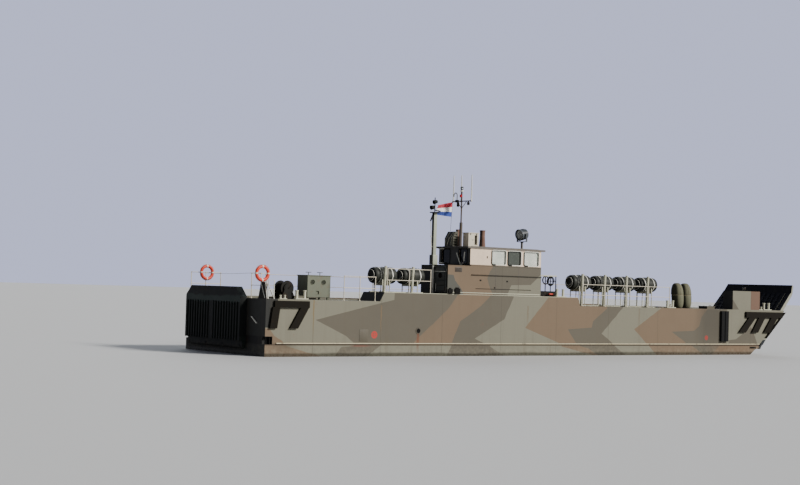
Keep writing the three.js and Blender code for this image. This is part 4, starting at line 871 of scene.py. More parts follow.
class Piece:
    """One new piece in the making. Its places are from the transom, to port, and above the waterline."""

    MERGE = 1e-5

    def __init__(self, name: str) -> None:
        """Starts an empty piece."""
        self.name = name
        self.mesh = bmesh.new()

    def take(self, shape: bmesh.types.BMesh, pose: Matrix | None = None) -> None:
        """Adds a finished shape, moved by pose where that is given."""
        if pose is not None:
            bmesh.ops.transform(shape, matrix=pose, verts=shape.verts)
        bmesh.ops.recalc_face_normals(shape, faces=shape.faces)
        held = bpy.data.meshes.new("held")
        shape.to_mesh(held)
        shape.free()
        self.mesh.from_mesh(held)
        bpy.data.meshes.remove(held)

    def block(self, low: Point, high: Point, bevel: float = 0.0, pose: Matrix | None = None,
              segments: int = 2) -> None:
        """Adds a box with rounded edges between two opposite corners, moved by pose if that is given."""
        shape = bmesh.new()
        size = [abs(b - a) for a, b in zip(low, high)]
        middle = Vector([(a + b) / 2 for a, b in zip(low, high)])
        matrix = Matrix.Translation(middle) @ Matrix.Diagonal((*size, 1.0))
        bmesh.ops.create_cube(shape, size=1.0, matrix=matrix)
        round_off(shape, shape.edges[:], bevel, segments)
        self.take(shape, pose)

    def on_wall(self, along: Span, up: Span, out: float, bevel: float) -> None:
        """Adds a flat box on the starboard wall, which stands out that far from it."""
        self.block((along[0], WALL - out, up[0]), (along[1], WALL + INTO_WALL, up[1]), bevel)

    def rod(self, start: Point, end: Point, radius: float, sides: int = 16, bevel: float = 0.0) -> None:
        """Adds a round bar from start to end, with so many sides and with rounded rims."""
        shape = bmesh.new()
        first, last = Vector(start), Vector(end)
        run = last - first
        bmesh.ops.create_cone(shape, cap_ends=True, segments=sides, radius1=radius, radius2=radius,
                              depth=run.length, matrix=Matrix.Translation((first + last) / 2) @ facing(run))
        rims = [edge for edge in shape.edges if any(len(face.verts) == sides for face in edge.link_faces)]
        round_off(shape, rims, bevel)
        self.take(shape)

    def spun(self, shape: bmesh.types.BMesh, outline: Sequence, steps: int, foot: Point,
             axis: Point) -> None:
        """Adds a full turn of an outline, with its axis placed from the foot along the axis."""
        bmesh.ops.spin(shape, geom=outline, cent=(0, 0, 0), axis=(0, 0, 1), dvec=(0, 0, 0),
                       angle=2 * math.pi, steps=steps, use_merge=True, use_duplicate=False)
        bmesh.ops.remove_doubles(shape, verts=shape.verts, dist=self.MERGE)
        self.take(shape, Matrix.Translation(foot) @ facing(axis))

    def ring(self, centre: Point, axis: Point, radius: float, thick: float, steps: int = 40,
             sides: int = 10) -> None:
        """Adds a round ring: its middle, axis, radius to the middle of the bar, and the bar's radius."""
        shape = bmesh.new()
        around = Matrix.Translation((radius, 0.0, 0.0)) @ Matrix.Rotation(math.pi / 2, 4, "X")
        circle = bmesh.ops.create_circle(shape, cap_ends=False, segments=sides, radius=thick, matrix=around)
        edges = {edge for vert in circle["verts"] for edge in vert.link_edges}
        self.spun(shape, [*circle["verts"], *edges], steps, centre, axis)

    def turned(self, foot: Point, axis: Point, profile: Sequence[Span], steps: int = 48) -> None:
        """Adds a body of revolution.

        Args:
            foot: Where its axis starts.
            axis: The axis' direction.
            profile: Radius and distance along the axis of each corner. One that starts and ends off the axis
                makes a closed band.
            steps: Steps of a full turn.
        """
        shape = bmesh.new()
        corners = [shape.verts.new((radius, 0.0, rise)) for radius, rise in profile]
        edges = [shape.edges.new(pair) for pair in zip(corners, corners[1:])]
        if profile[0][0] > 0 and profile[-1][0] > 0:
            edges.append(shape.edges.new((corners[-1], corners[0])))
        self.spun(shape, [*corners, *edges], steps, foot, axis)

    def plate(self, corners: Sequence[Point], push: Point, bevel: float = 0.0) -> None:
        """Adds a flat outline pushed along a vector, with rounded edges."""
        shape = bmesh.new()
        face = shape.faces.new([shape.verts.new(corner) for corner in corners])
        grown = bmesh.ops.extrude_face_region(shape, geom=[face])
        moved = [item for item in grown["geom"] if isinstance(item, bmesh.types.BMVert)]
        bmesh.ops.translate(shape, verts=moved, vec=push)
        bmesh.ops.recalc_face_normals(shape, faces=shape.faces)
        round_off(shape, shape.edges[:], bevel)
        self.take(shape)

    def lean(self, foot: Point, run: float) -> None:
        """Leans all that is made so far by run along the craft for each metre above the foot."""
        slant = Matrix.Identity(4)
        slant[0][2] = run
        matrix = Matrix.Translation(foot) @ slant @ Matrix.Translation(-Vector(foot))
        bmesh.ops.transform(self.mesh, matrix=matrix, verts=self.mesh.verts)

    def tube(self, path: Sequence[Point], radius: float, sides: int = 8, closed: bool = False) -> None:
        """Adds a round bar that follows a path, and joins its own start where it is closed."""
        shape = bmesh.new()
        places = [Vector(point) for point in path]
        count = len(places)
        loops = []
        turn = None
        for index, at in enumerate(places):
            before = places[index - 1] if index or closed else at
            after = places[(index + 1) % count] if index + 1 < count or closed else at
            way = (after - before).normalized()
            if turn is None:
                turn = way.to_track_quat("Z", "Y")
            else:
                turn = (turn @ Vector((0, 0, 1))).rotation_difference(way) @ turn
            made = bmesh.ops.create_circle(shape, cap_ends=False, segments=sides, radius=radius,
                                           matrix=Matrix.Translation(at) @ turn.to_matrix().to_4x4())
            loops.append([edge for edge in {e for v in made["verts"] for e in v.link_edges}])
        for first, second in zip(loops, loops[1:]):
            bmesh.ops.bridge_loops(shape, edges=first + second)
        if closed:
            bmesh.ops.bridge_loops(shape, edges=loops[-1] + loops[0])
        else:
            bmesh.ops.holes_fill(shape, edges=loops[0] + loops[-1], sides=sides)
        self.take(shape)

    def done(self, surface: Surface, body: str = "hull", stands_for: Sequence[str] = (),
             smooth: float = 40.0) -> None:
        """Makes the object, places it in the row frame, finishes it and lets it ride.

        Args:
            surface: Its finish.
            body: The body that it rides on.
            stands_for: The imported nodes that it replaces.
            smooth: The angle in degrees up to which its faces shade smoothly.
        """
        made = link(self.name, self.mesh, station(0.0, 0.0, 0.0))
        made.data.shade_smooth()
        made.data.set_sharp_from_angle(angle=math.radians(smooth))
        coat(made, surface)
        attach(made, body)
        if stands_for:
            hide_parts(*stands_for)
        LOG.info("%s: %d faces, rides on %s", self.name, len(made.data.polygons), body)


def spaced(first: float, last: float, count: int) -> list[float]:
    """Returns count places from first to last."""
    return [first + (last - first) * index / (count - 1) for index in range(count)]


def rounded(across: Span, up: Span, radius: float, steps: int = 6) -> list[tuple[float, float]]:
    """Returns the points of a rectangle with round corners, given its two spans and the corners' radius."""
    points = []
    corners = ((across[1] - radius, up[0] + radius, -90), (across[1] - radius, up[1] - radius, 0),
               (across[0] + radius, up[1] - radius, 90), (across[0] + radius, up[0] + radius, 180))
    for middle, level, start in corners:
        for angle in spaced(start, start + 90, steps):
            turn = math.radians(angle)
            points.append((middle + radius * math.cos(turn), level + radius * math.sin(turn)))
    return points


SURFACES = {
    Surface.HULL: ("hull_bottom", "wing_starboard", "wing_port", "raised_deck", "bow_winch_house",
                   "wheelhouse_lower_walls", "aft_house", "hatch_aft", "hatch_forward"),
    Surface.BAND: ("wheelhouse_window_band",),
    Surface.ROOF: ("wheelhouse_roof",),
    Surface.UNIT: ("roof_ventilation_unit",),
    Surface.VENT: ("ventilation_box",),
    Surface.DARK: ("mooring_winch", "stern_corner_post", "deck_locker"),
    Surface.DOOR: ("aft_house_door",),
    Surface.LAMP: ("searchlight",),
    Surface.STERN_RAMP: ("stern_ramp",),
    Surface.BOW_RAMP: ("bow_ramp",),
    Surface.PALE: ("raft_rack_aft", "raft_rack_forward"),
    Surface.CREAM: ("roof_locker",),
    Surface.RUBBER: ("stern_fender_starboard", "stern_fender_port", "bow_fender_starboard",
                     "bow_fender_port"),
    Surface.POST_RUBBER: ("post_fender_starboard", "post_fender_port"),
    Surface.GLASS: ("glass_starboard", "glass_port", "glass_front", "glass_aft"),
    Surface.STEEL: ("pump_jet_aft", "pump_jet_forward"),
}


@dataclass
class Rafts:
    """Six canister liferafts, lashed in their racks."""

    radius: float = 0.375
    length: float = 1.29
    height: float = 3.65
    across: float = -2.24
    pitch: float = 1.62
    rows: tuple[tuple[str, float, int, float], ...] = (("aft", 6.30, 2, RAISED_DECK),
                                                       ("forward", 18.70, 4, WING_DECK))
    half: tuple[tuple[float, float], ...] = (
        (0.0, 0.012), (0.30, 0.004), (0.34, 0.0), (0.60, 0.0), (0.63, 0.004), (0.82, 0.018), (0.93, 0.045),
        (0.98, 0.08), (1.0, 0.115), (1.0, 0.16), (1.022, 0.168), (1.022, 0.192), (1.0, 0.20), (1.0, 0.30),
        (1.018, 0.308), (1.018, 0.332), (1.0, 0.34), (1.0, 0.465), (1.05, 0.472))

    def build(self) -> None:
        """Builds each canister with its bands and lashing."""
        for row, first, count, deck in self.rows:
            straps = Piece(f"raft_straps_{row}")
            fittings = Piece(f"raft_releases_{row}")
            for index in range(count):
                start = first + index * self.pitch
                self.canister(f"raft_{row}_{index + 1}", start)
                self.strap(straps, start)
                self.release(fittings, start, deck)
            straps.done(Surface.WHITE)
            fittings.done(Surface.STEEL)

    def canister(self, node: str, start: float) -> None:
        """Builds one ribbed canister in place of its packed drum."""
        shell = Piece(node.replace("raft", "canister"))
        outline = [*self.half, *((radius, 1 - rise) for radius, rise in reversed(self.half))]
        profile = [(radius * self.radius, rise * self.length) for radius, rise in outline]
        shell.turned((start, self.across, self.height), (1, 0, 0), profile, 64)
        shell.done(Surface.CANISTER, stands_for=(node,), smooth=32)

    def strap(self, piece: Piece, start: float) -> None:
        """Adds the two light bands and their buckles round one canister."""
        for share in (0.245, 0.755):
            at = start + share * self.length
            radius = self.radius
            band = ((radius + 0.002, -0.022), (radius + 0.010, -0.020), (radius + 0.010, 0.020),
                    (radius + 0.002, 0.022))
            piece.turned((at, self.across, self.height), (1, 0, 0), band, 64)
            piece.block((at - 0.03, self.across - radius - 0.028, self.height - 0.06),
                        (at + 0.03, self.across - radius - 0.006, self.height + 0.05), 0.006)
        for end, side in ((start, -1), (start + self.length, 1)):
            piece.ring((end + side * 0.004, self.across, self.height), (1, 0, 0), 0.255, 0.010, 48)
            piece.tube(self.grip(end, side), 0.008, 8)

    def grip(self, end: float, side: int) -> list[Point]:
        """Returns the path of the rope grip on one end."""
        path = []
        for angle in spaced(200, 340, 9):
            turn = math.radians(angle)
            sag = 0.03 * math.sin(math.pi * (angle - 200) / 140)
            path.append((end + side * (0.012 + sag * 0.4), self.across + 0.2 * math.cos(turn),
                         self.height + 0.2 * math.sin(turn) + 0.05))
        return path

    def release(self, piece: Piece, start: float, deck: float) -> None:
        """Adds one hydrostatic release, its shackle and its lashing down to the rack."""
        at = start + 0.245 * self.length
        side = self.across - self.radius
        piece.tube(((at, side - 0.018, self.height - 0.05), (at, side - 0.012, self.height - 0.22),
                    (at, side + 0.02, deck + 0.42), (at, side + 0.03, deck + 0.06)), 0.009, 8)
        piece.rod((at, side - 0.02, self.height - 0.30), (at, side + 0.035, self.height - 0.30), 0.045, 20,
                  bevel=0.008)
        piece.ring((at, side - 0.01, self.height - 0.21), (0, 1, 0), 0.028, 0.008, 20, 8)
        piece.ring((at, side + 0.03, deck + 0.07), (1, 0, 0), 0.03, 0.008, 20, 8)


@dataclass
class Lifebuoys:
    """Two banded lifebuoys with their grab lines."""

    radius: float = 0.29
    tube: float = 0.072
    places: tuple[tuple[str, float, float], ...] = (("starboard", 0.15, -2.81), ("port", 0.89, 3.263))
    height: float = 3.55

    def build(self) -> None:
        """Builds both lifebuoys, each with its own banded shell."""
        for side, along, across in self.places:
            centre = (along, across, self.height)
            ring = Piece(f"buoy_ring_{side}")
            ring.ring(centre, (0, 1, 0), self.radius, self.tube, 72, 24)
            surface = Surface.BUOY if side == "starboard" else Surface.PORT_BUOY
            ring.done(surface, stands_for=(f"lifebuoy_{side}",))
            self.line(side, centre)

    def line(self, side: str, centre: Point) -> None:
        """Adds the grab line, which sags a little between its four holds."""
        rope = Piece(f"buoy_line_{side}")
        outer = self.radius + self.tube
        path = []
        for angle in range(0, 360, 9):
            turn = math.radians(angle)
            slack = 0.018 * math.sin(2 * turn) ** 2
            reach = outer + 0.004 + slack
            path.append((centre[0] + reach * math.cos(turn), centre[1], centre[2] + reach * math.sin(turn)))
        rope.tube(path, 0.006, 8, closed=True)
        rope.done(Surface.ROPE)


@dataclass
class TubeFenders:
    """Upright inflatable fenders standing on the deck, with girdle and head ropes, their heads a little aft.
    """

    radius: float = 0.325
    height: float = 1.34
    run: float = -0.13
    places: tuple[tuple[str, float, float], ...] = (("aft", 26.12, -2.87), ("forward", 26.93, -2.70))
    profile: tuple[tuple[float, float], ...] = (
        (0.0, 0.0), (0.50, 0.0), (0.62, 0.006), (0.70, 0.022), (0.80, 0.075), (0.88, 0.14), (0.94, 0.23),
        (0.98, 0.34), (0.995, 0.42), (1.0, 0.485), (0.985, 0.497), (0.965, 0.505), (0.965, 0.535),
        (0.985, 0.543), (1.0, 0.555), (0.99, 0.63), (0.96, 0.71), (0.90, 0.79), (0.80, 0.87),
        (0.68, 0.925), (0.50, 0.972), (0.28, 0.996), (0.12, 1.0), (0.0, 1.0))

    def build(self) -> None:
        """Builds both fenders and their ropes."""
        for name, along, across in self.places:
            tube = Piece(f"fender_tube_{name}")
            foot = (along, across, WING_DECK + OFF_DECK)
            tube.turned(foot, (0, 0, 1), [(r * self.radius, h * self.height) for r, h in self.profile], 64)
            tube.lean(foot, self.run / self.height)
            tube.done(Surface.OLIVE, stands_for=(f"tube_fender_{name}",), smooth=50)
            self.rope(name, foot)

    def rope(self, name: str, foot: Point) -> None:
        """Adds the girdle rope, the three ropes over the head and their knot."""
        rope = Piece(f"fender_rope_{name}")
        along, across, low = foot
        rope.ring((along, across, low + 0.52 * self.height), (0, 0, 1), 0.968 * self.radius, 0.011, 56, 8)
        over = [(reach * self.radius + 0.004, level) for reach, level in self.profile if level >= 0.52]
        for angle in (20, 140, 260):
            turn = math.radians(angle)
            path = [(along + math.cos(turn) * reach, across + math.sin(turn) * reach,
                     low + min(level, 0.993) * self.height) for reach, level in over]
            rope.tube(path, 0.009, 8)
        rope.ring((along, across, low + self.height - 0.012), (0, 0, 1), 0.045, 0.011, 24, 8)
        rope.lean(foot, self.run / self.height)
        rope.done(Surface.ROPE)


@dataclass
class Bollards:
    """Double bollards with rounded caps on welded base plates."""

    base: Point = (0.33, 0.13, 0.045)
    post: float = 0.062
    cap: float = 0.078
    spread: float = 0.205
    height: float = 0.40
    places: tuple[tuple[str, float, float, float], ...] = (
        ("starboard_stern", 1.95, -3.10, WING_DECK), ("starboard_raised", 17.29, -3.10, RAISED_DECK),
        ("starboard_forward", 25.25, -3.10, WING_DECK), ("starboard_bow", 33.16, -3.04, WING_DECK),
        ("port_stern", 1.95, 3.16, WING_DECK), ("port_bow", 33.16, 3.13, WING_DECK))

    def build(self) -> None:
        """Builds each pair of posts on its plate."""
        for name, along, across, deck in self.places:
            pair = Piece(f"bitts_{name}")
            half_long, half_wide, thick = self.base
            pair.block((along - half_long, across - half_wide, deck + OFF_DECK),
                       (along + half_long, across + half_wide, deck + thick), 0.008)
            for side in (-1, 1):
                foot = (along + side * self.spread, across, deck + thick - 0.005)
                rise = self.height - thick + 0.005
                pair.turned(foot, (0, 0, 1), (
                    (0.0, 0.0), (self.post + 0.014, 0.0), (self.post + 0.004, 0.012), (self.post, 0.022),
                    (self.post, rise - 0.055), (self.cap, rise - 0.045), (self.cap, rise - 0.014),
                    (self.cap - 0.014, rise), (0.0, rise)), 40)
            pair.done(Surface.PALE, stands_for=(f"bollard_{name}",))


@dataclass
class Rails:
    """Guard rails with round stanchions, welded feet and clamped bars."""

    stanchion: float = 0.020
    bar: float = 0.014
    heights: Span = (0.56, 1.08)
    runs: tuple[tuple[str, tuple[tuple[float, float], ...], float], ...] = (
        ("rail_starboard_aft", tuple((4.056 + 0.85 * i, -3.355) for i in range(3)), WING_DECK),
        ("rail_starboard_raised", tuple((6.42 + 1.24 * i, -3.355) for i in range(3)), RAISED_DECK),
        ("rail_starboard_forward", tuple((18.6 + 1.58 * i, -3.355) for i in range(5)), WING_DECK),
        ("rail_port", tuple((4.16 + 3.16 * i, 3.355) for i in range(9)), WING_DECK),
        ("rail_stern_starboard", ((0.15, -2.718), (0.15, -1.95), (0.93, -1.95)), WING_DECK),
        ("rail_stern_port", ((0.13, 3.355), (0.89, 3.355), (1.68, 3.355)), WING_DECK))

    def build(self) -> None:
        """Builds each run of rail."""
        for node, points, deck in self.runs:
            run = Piece(node.replace("rail", "guard_rail"))
            for along, across in points:
                run.rod((along, across, deck + OFF_DECK), (along, across, deck + self.heights[1] + 0.015),
                        self.stanchion, 16, bevel=0.006)
                run.turned((along, across, deck + OFF_DECK), (0, 0, 1), (
                    (0.0, 0.0), (0.055, 0.0), (0.055, 0.010), (0.030, 0.014), (0.021, 0.035), (0.0, 0.035)),
                    20)
            for height in self.heights:
                for first, second in zip(points, points[1:]):
                    run.rod((*first, deck + height), (*second, deck + height), self.bar, 12)
                for along, across in points:
                    run.rod((along, across, deck + height - 0.026), (along, across, deck + height + 0.022),
                            0.027, 16, bevel=0.005)
            run.done(Surface.CREAM, stands_for=(node,))


@dataclass
class MainMast:
    """Mast with its yard, hanging lamps, bent pipe and aerials."""

    along: float = 11.39
    across: float = -2.40
    lower: float = 6.30
    top: float = 7.90
    yard: float = 7.32
    half: float = 0.70
    whips: tuple[float, ...] = (-0.96, 0.12, 0.96)
    hung: tuple[Span, ...] = ((-0.72, 0.21), (0.38, 0.27))

    def build(self) -> None:
        """Builds the tubes first, then what is fixed to them."""
        self.tubes()
        self.lights()
        self.aerials()

    def on_yard(self, share: float) -> float:
        """Returns how far to port a share of the yard's half length lies."""
        return self.across + share * self.half

    def tubes(self) -> None:
        """Builds the mast, the yard, its braces and the halyard."""
        x, y = self.along, self.across
        rise = self.lower - ROOF_TOP
        mast = Piece("mast_tubes")
        mast.turned((x, y, ROOF_TOP + OFF_DECK), (0, 0, 1), (
            (0.0, 0.0), (0.15, 0.0), (0.15, 0.022), (0.085, 0.038), (0.076, 0.06), (0.075, rise - 0.012),
            (0.060, rise), (0.038, rise + 0.002), (0.037, self.top - ROOF_TOP), (0.0, self.top - ROOF_TOP)),
            40)
        mast.rod((x, y - self.half, self.yard), (x, y + self.half, self.yard), 0.027, 20, bevel=0.006)
        for share in (-0.55, 0.45):
            mast.rod((x, self.on_yard(share), self.yard), (x, y, self.yard - 0.35), 0.017, 12)
        for share in self.whips:
            at = self.on_yard(share)
            mast.block((x - 0.005, at - 0.014, self.yard - 0.05),
                       (x + 0.042, at + 0.014, self.yard + 0.025), 0.004)
        at = y + self.half - 0.02
        mast.rod((x, at, self.yard), (11.30, at, ROOF_TOP + 0.75), 0.0075, 10)
        cable = [(x + 0.083, y + 0.02, level) for level in (ROOF_TOP + 0.03, 6.22)]
        mast.tube([*cable, (x + 0.048, y + 0.02, 6.36), (x + 0.048, y + 0.02, 7.28)], 0.012, 8)
        mast.done(Surface.MAST, stands_for=("main_mast",))

    def lights(self) -> None:
        """Adds the dark lamps and block, their lenses, the white ring and the red lamp."""
        x, y = self.along, self.across
        housings, lenses = Piece("mast_lamps"), Piece("mast_lamp_lenses")
        for share, drop in self.hung:
            foot = (x, self.on_yard(share), self.yard)
            housings.turned(foot, (0, 0, -1), (
                (0.0, 0.0), (0.034, 0.0), (0.034, 0.05), (0.058, 0.062), (0.066, 0.078),
                (0.068, drop - 0.06),
                (0.064, drop - 0.03), (0.052, drop - 0.024), (0.0, drop - 0.024)), 32)
            lenses.turned(foot, (0, 0, -1), ((0.0, drop - 0.024), (0.050, drop - 0.024),
                                             (0.044, drop - 0.010), (0.0, drop)), 32)
        housings.block((x - 0.06, self.on_yard(0.36), self.yard - 0.05),
                       (x + 0.06, self.on_yard(0.62), self.yard + 0.07), 0.012)
        head = (x, y, self.top - 0.01)
        housings.turned(head, (0, 0, 1), ((0.0, 0.0), (0.075, 0.0), (0.085, 0.008), (0.082, 0.030),
                                          (0.0, 0.030)), 32)
        lenses.turned(head, (0, 0, 1), ((0.0, 0.030), (0.070, 0.030), (0.070, 0.072), (0.0, 0.072)), 32)
        housings.turned(head, (0, 0, 1), ((0.0, 0.072), (0.080, 0.072), (0.085, 0.080), (0.066, 0.118),
                                          (0.0, 0.13)), 32)
        housings.done(Surface.DARK)
        lenses.done(Surface.LENS)
        ring = Piece("mast_ring")
        ring.turned((x, y, self.top - 0.13), (0, 0, 1), (
            (0.036, 0.0), (0.074, 0.0), (0.080, 0.008), (0.080, 0.062), (0.074, 0.070), (0.036, 0.070)), 36)
        ring.done(Surface.WHITE)
        red = Piece("mast_red_lamp")
        red.turned((x - 0.055, y, self.top - 0.40), (0, 0, 1), (
            (0.0, 0.0), (0.050, 0.0), (0.062, 0.010), (0.062, 0.122), (0.050, 0.136), (0.0, 0.140)), 32)
        red.done(Surface.RED_LENS)

    def aerials(self) -> None:
        """Adds the whip aerials on their insulators, and the pipe that rises from the yard and bends over."""
        whips = Piece("mast_aerials")
        for share in self.whips:
            whips.turned((self.along + 0.036, self.on_yard(share), self.yard - 0.04), (0, 0, 1), (
                (0.0, 0.0), (0.034, 0.0), (0.034, 0.10), (0.030, 0.12), (0.027, 0.6), (0.020, 1.289),
                (0.0, 1.29)), 16)
        whips.done(Surface.WHITE)
        pipe = Piece("mast_bent_pipe")
        foot, level, bend = self.on_yard(0.5), self.yard + 0.29, 0.12
        arc = [(self.along, foot + bend * (1 - math.cos(turn)), level + bend * math.sin(turn))
               for turn in spaced(0.0, math.pi, 13)]
        pipe.tube([(self.along, foot, self.yard), *arc, (self.along, foot + 2 * bend, level - 0.06)], 0.023,
                  12)
        pipe.done(Surface.FITTING)


@dataclass
class SignalPost:
    """Square post behind the low house, with a collar, a plate, a strut and two round lamps on a staff."""

    along: float = 9.76
    across: float = -2.42
    plate: float = 6.68
    collar: Span = (4.2403, 4.70)
    lamps: tuple[tuple[float, float, float, float], ...] = ((7.19, 0.06, -0.06, 0.100),
                                                            (6.93, 0.0, 0.06, 0.105))

    def build(self) -> None:
        """Builds the pale post, then its dark parts, then its lamps' glass."""
        x, y = self.along, self.across
        post = Piece("post_tubes")
        post.turned((x, y, RAISED_DECK + OFF_DECK), (0, 0, 1), (
            (0.0, 0.0), (0.075, 0.0), (0.075, 0.026), (0.042, 0.034), (0.036, 0.05), (0.036, 1.37),
            (0.0, 1.37)), 32)
        post.block((x - 0.14, y - 0.14, self.collar[0]), (x + 0.14, y + 0.14, self.collar[1]), 0.012)
        post.block((x - 0.09, y - 0.085, self.collar[1] - 0.01), (x + 0.09, y + 0.085, self.plate), 0.014)
        for level in (self.collar[0] + 0.07, self.collar[1] - 0.07):
            for side in (-0.10, 0.10):
                post.rod((x + side, y - 0.146, level), (x + side, y - 0.138, level), 0.014, 6)
        post.done(Surface.POST, stands_for=("signal_post",))
        dark = Piece("post_dark_parts")
        dark.turned((x, y, self.plate - 0.01), (0, 0, 1), (
            (0.0, 0.0), (0.232, 0.0), (0.24, 0.008), (0.24, 0.032), (0.232, 0.04), (0.0, 0.04)), 44)
        dark.rod((x, y, self.plate), (x, y, 7.40), 0.023, 16, bevel=0.006)
        dark.rod((x - 0.03, y, self.plate + 0.13), (x + 0.33, y, self.plate + 0.09), 0.027, 16, bevel=0.006)
        dark.rod((x - 0.24, y, self.plate - 0.40), (x - 0.06, y, self.plate), 0.035, 18, bevel=0.006)
        for level, forward, port, radius in self.lamps:
            foot = (x + forward + 0.015, y + port, level + 0.02)
            dark.turned(foot, (-0.2, 0, -0.04), (
                (0.0, 0.0), (radius * 0.62, 0.0), (radius * 0.75, 0.012), (radius * 0.82, 0.06),
                (radius * 0.88, 0.066), (radius * 0.95, 0.165), (radius, 0.172), (radius, 0.203),
                (radius * 0.9, 0.203), (radius * 0.88, 0.186), (0.0, 0.186)), 40)
            dark.rod((x, y, level), (x + forward - 0.06, y + port, level), 0.02, 12)
        dark.done(Surface.DARK)
        stay = Piece("post_stay")
        low, high = Vector((x - 0.11, y, self.collar[1] - 0.02)), Vector((x - 0.24, y, self.plate - 0.40))
        stay.rod(tuple(low), tuple(high), 0.013, 12)
        for share in (0.25, 0.55):
            stay.rod(tuple(low.lerp(high, share - 0.02)), tuple(low.lerp(high, share + 0.02)), 0.030, 16,
                     bevel=0.006)
        stay.turned((x, y, RAISED_DECK + 0.05), (0, 0, 1), ((0.035, 0.0), (0.040, 0.004), (0.040, 1.296),
                                                           (0.035, 1.30)), 28)
        stay.done(Surface.WHITE)
        lens = Piece("post_lamp_lenses")
        for level, forward, port, radius in self.lamps:
            lens.turned((x + forward - 0.168, y + port, level - 0.0166), (-0.2, 0, -0.04), (
                (0.0, 0.0), (radius * 0.87, 0.0), (radius * 0.85, 0.008), (radius * 0.5, 0.014),
                (0.0, 0.016)), 36)
        lens.done(Surface.HOLE)


@dataclass
class Searchlight:
    """Lens, rim, fins and handle of the searchlight on the roof, which faces aft and a little down."""

    centre: Point = (15.30, -2.40, 5.91)
    radius: float = 0.29
    half: float = 0.20
    dip: float = 0.042

    def on_axis(self, share: float) -> Point:
        """Returns a place on the drum's axis, from -1 at its mouth to 1 at its back."""
        x, y, z = self.centre
        return x + share * self.half, y, z + share * self.dip

    def build(self) -> None:
        """Adds the rim and the fins, then the handle, then the lens."""
        axis = (self.half, 0.0, self.dip)
        rim = Piece("searchlight_rim")
        rim.ring(self.on_axis(-0.985), axis, self.radius - 0.010, 0.012, 56, 10)
        for share in (-0.3, 0.0, 0.3, 0.6):
            reach = self.radius * (1 - 0.07 * (share + 1))
            rim.turned(self.on_axis(share), axis, ((reach - 0.01, -0.006), (reach + 0.009, -0.005),
                                                  (reach + 0.009, 0.005), (reach - 0.01, 0.006)), 56)
        x, y, z = self.on_axis(1.0)
        rim.tube(((x - 0.01, y - 0.10, z + 0.05), (x + 0.02, y - 0.10, z + 0.11),
                  (x + 0.02, y + 0.10, z + 0.11), (x - 0.01, y + 0.10, z + 0.05)), 0.010, 8)
        rim.done(Surface.LAMP, "searchlight")
        lens = Piece("searchlight_lens")
        lens.turned(self.on_axis(-0.75), axis, ((0.0, 0.01), (0.235, 0.01), (0.238, 0.0), (0.15, -0.010),
                                               (0.0, -0.016)), 56)
        lens.done(Surface.LENS, "searchlight")
        # Painted shade: the reflector behind the lens is drawn near black.
        dark = Piece("searchlight_reflector")
        dark.turned(self.on_axis(-0.66), axis, ((0.0, 0.010), (0.232, 0.010), (0.232, 0.0), (0.12, 0.012),
                                               (0.0, 0.006)), 56)
        dark.done(Surface.HOLE, "searchlight")


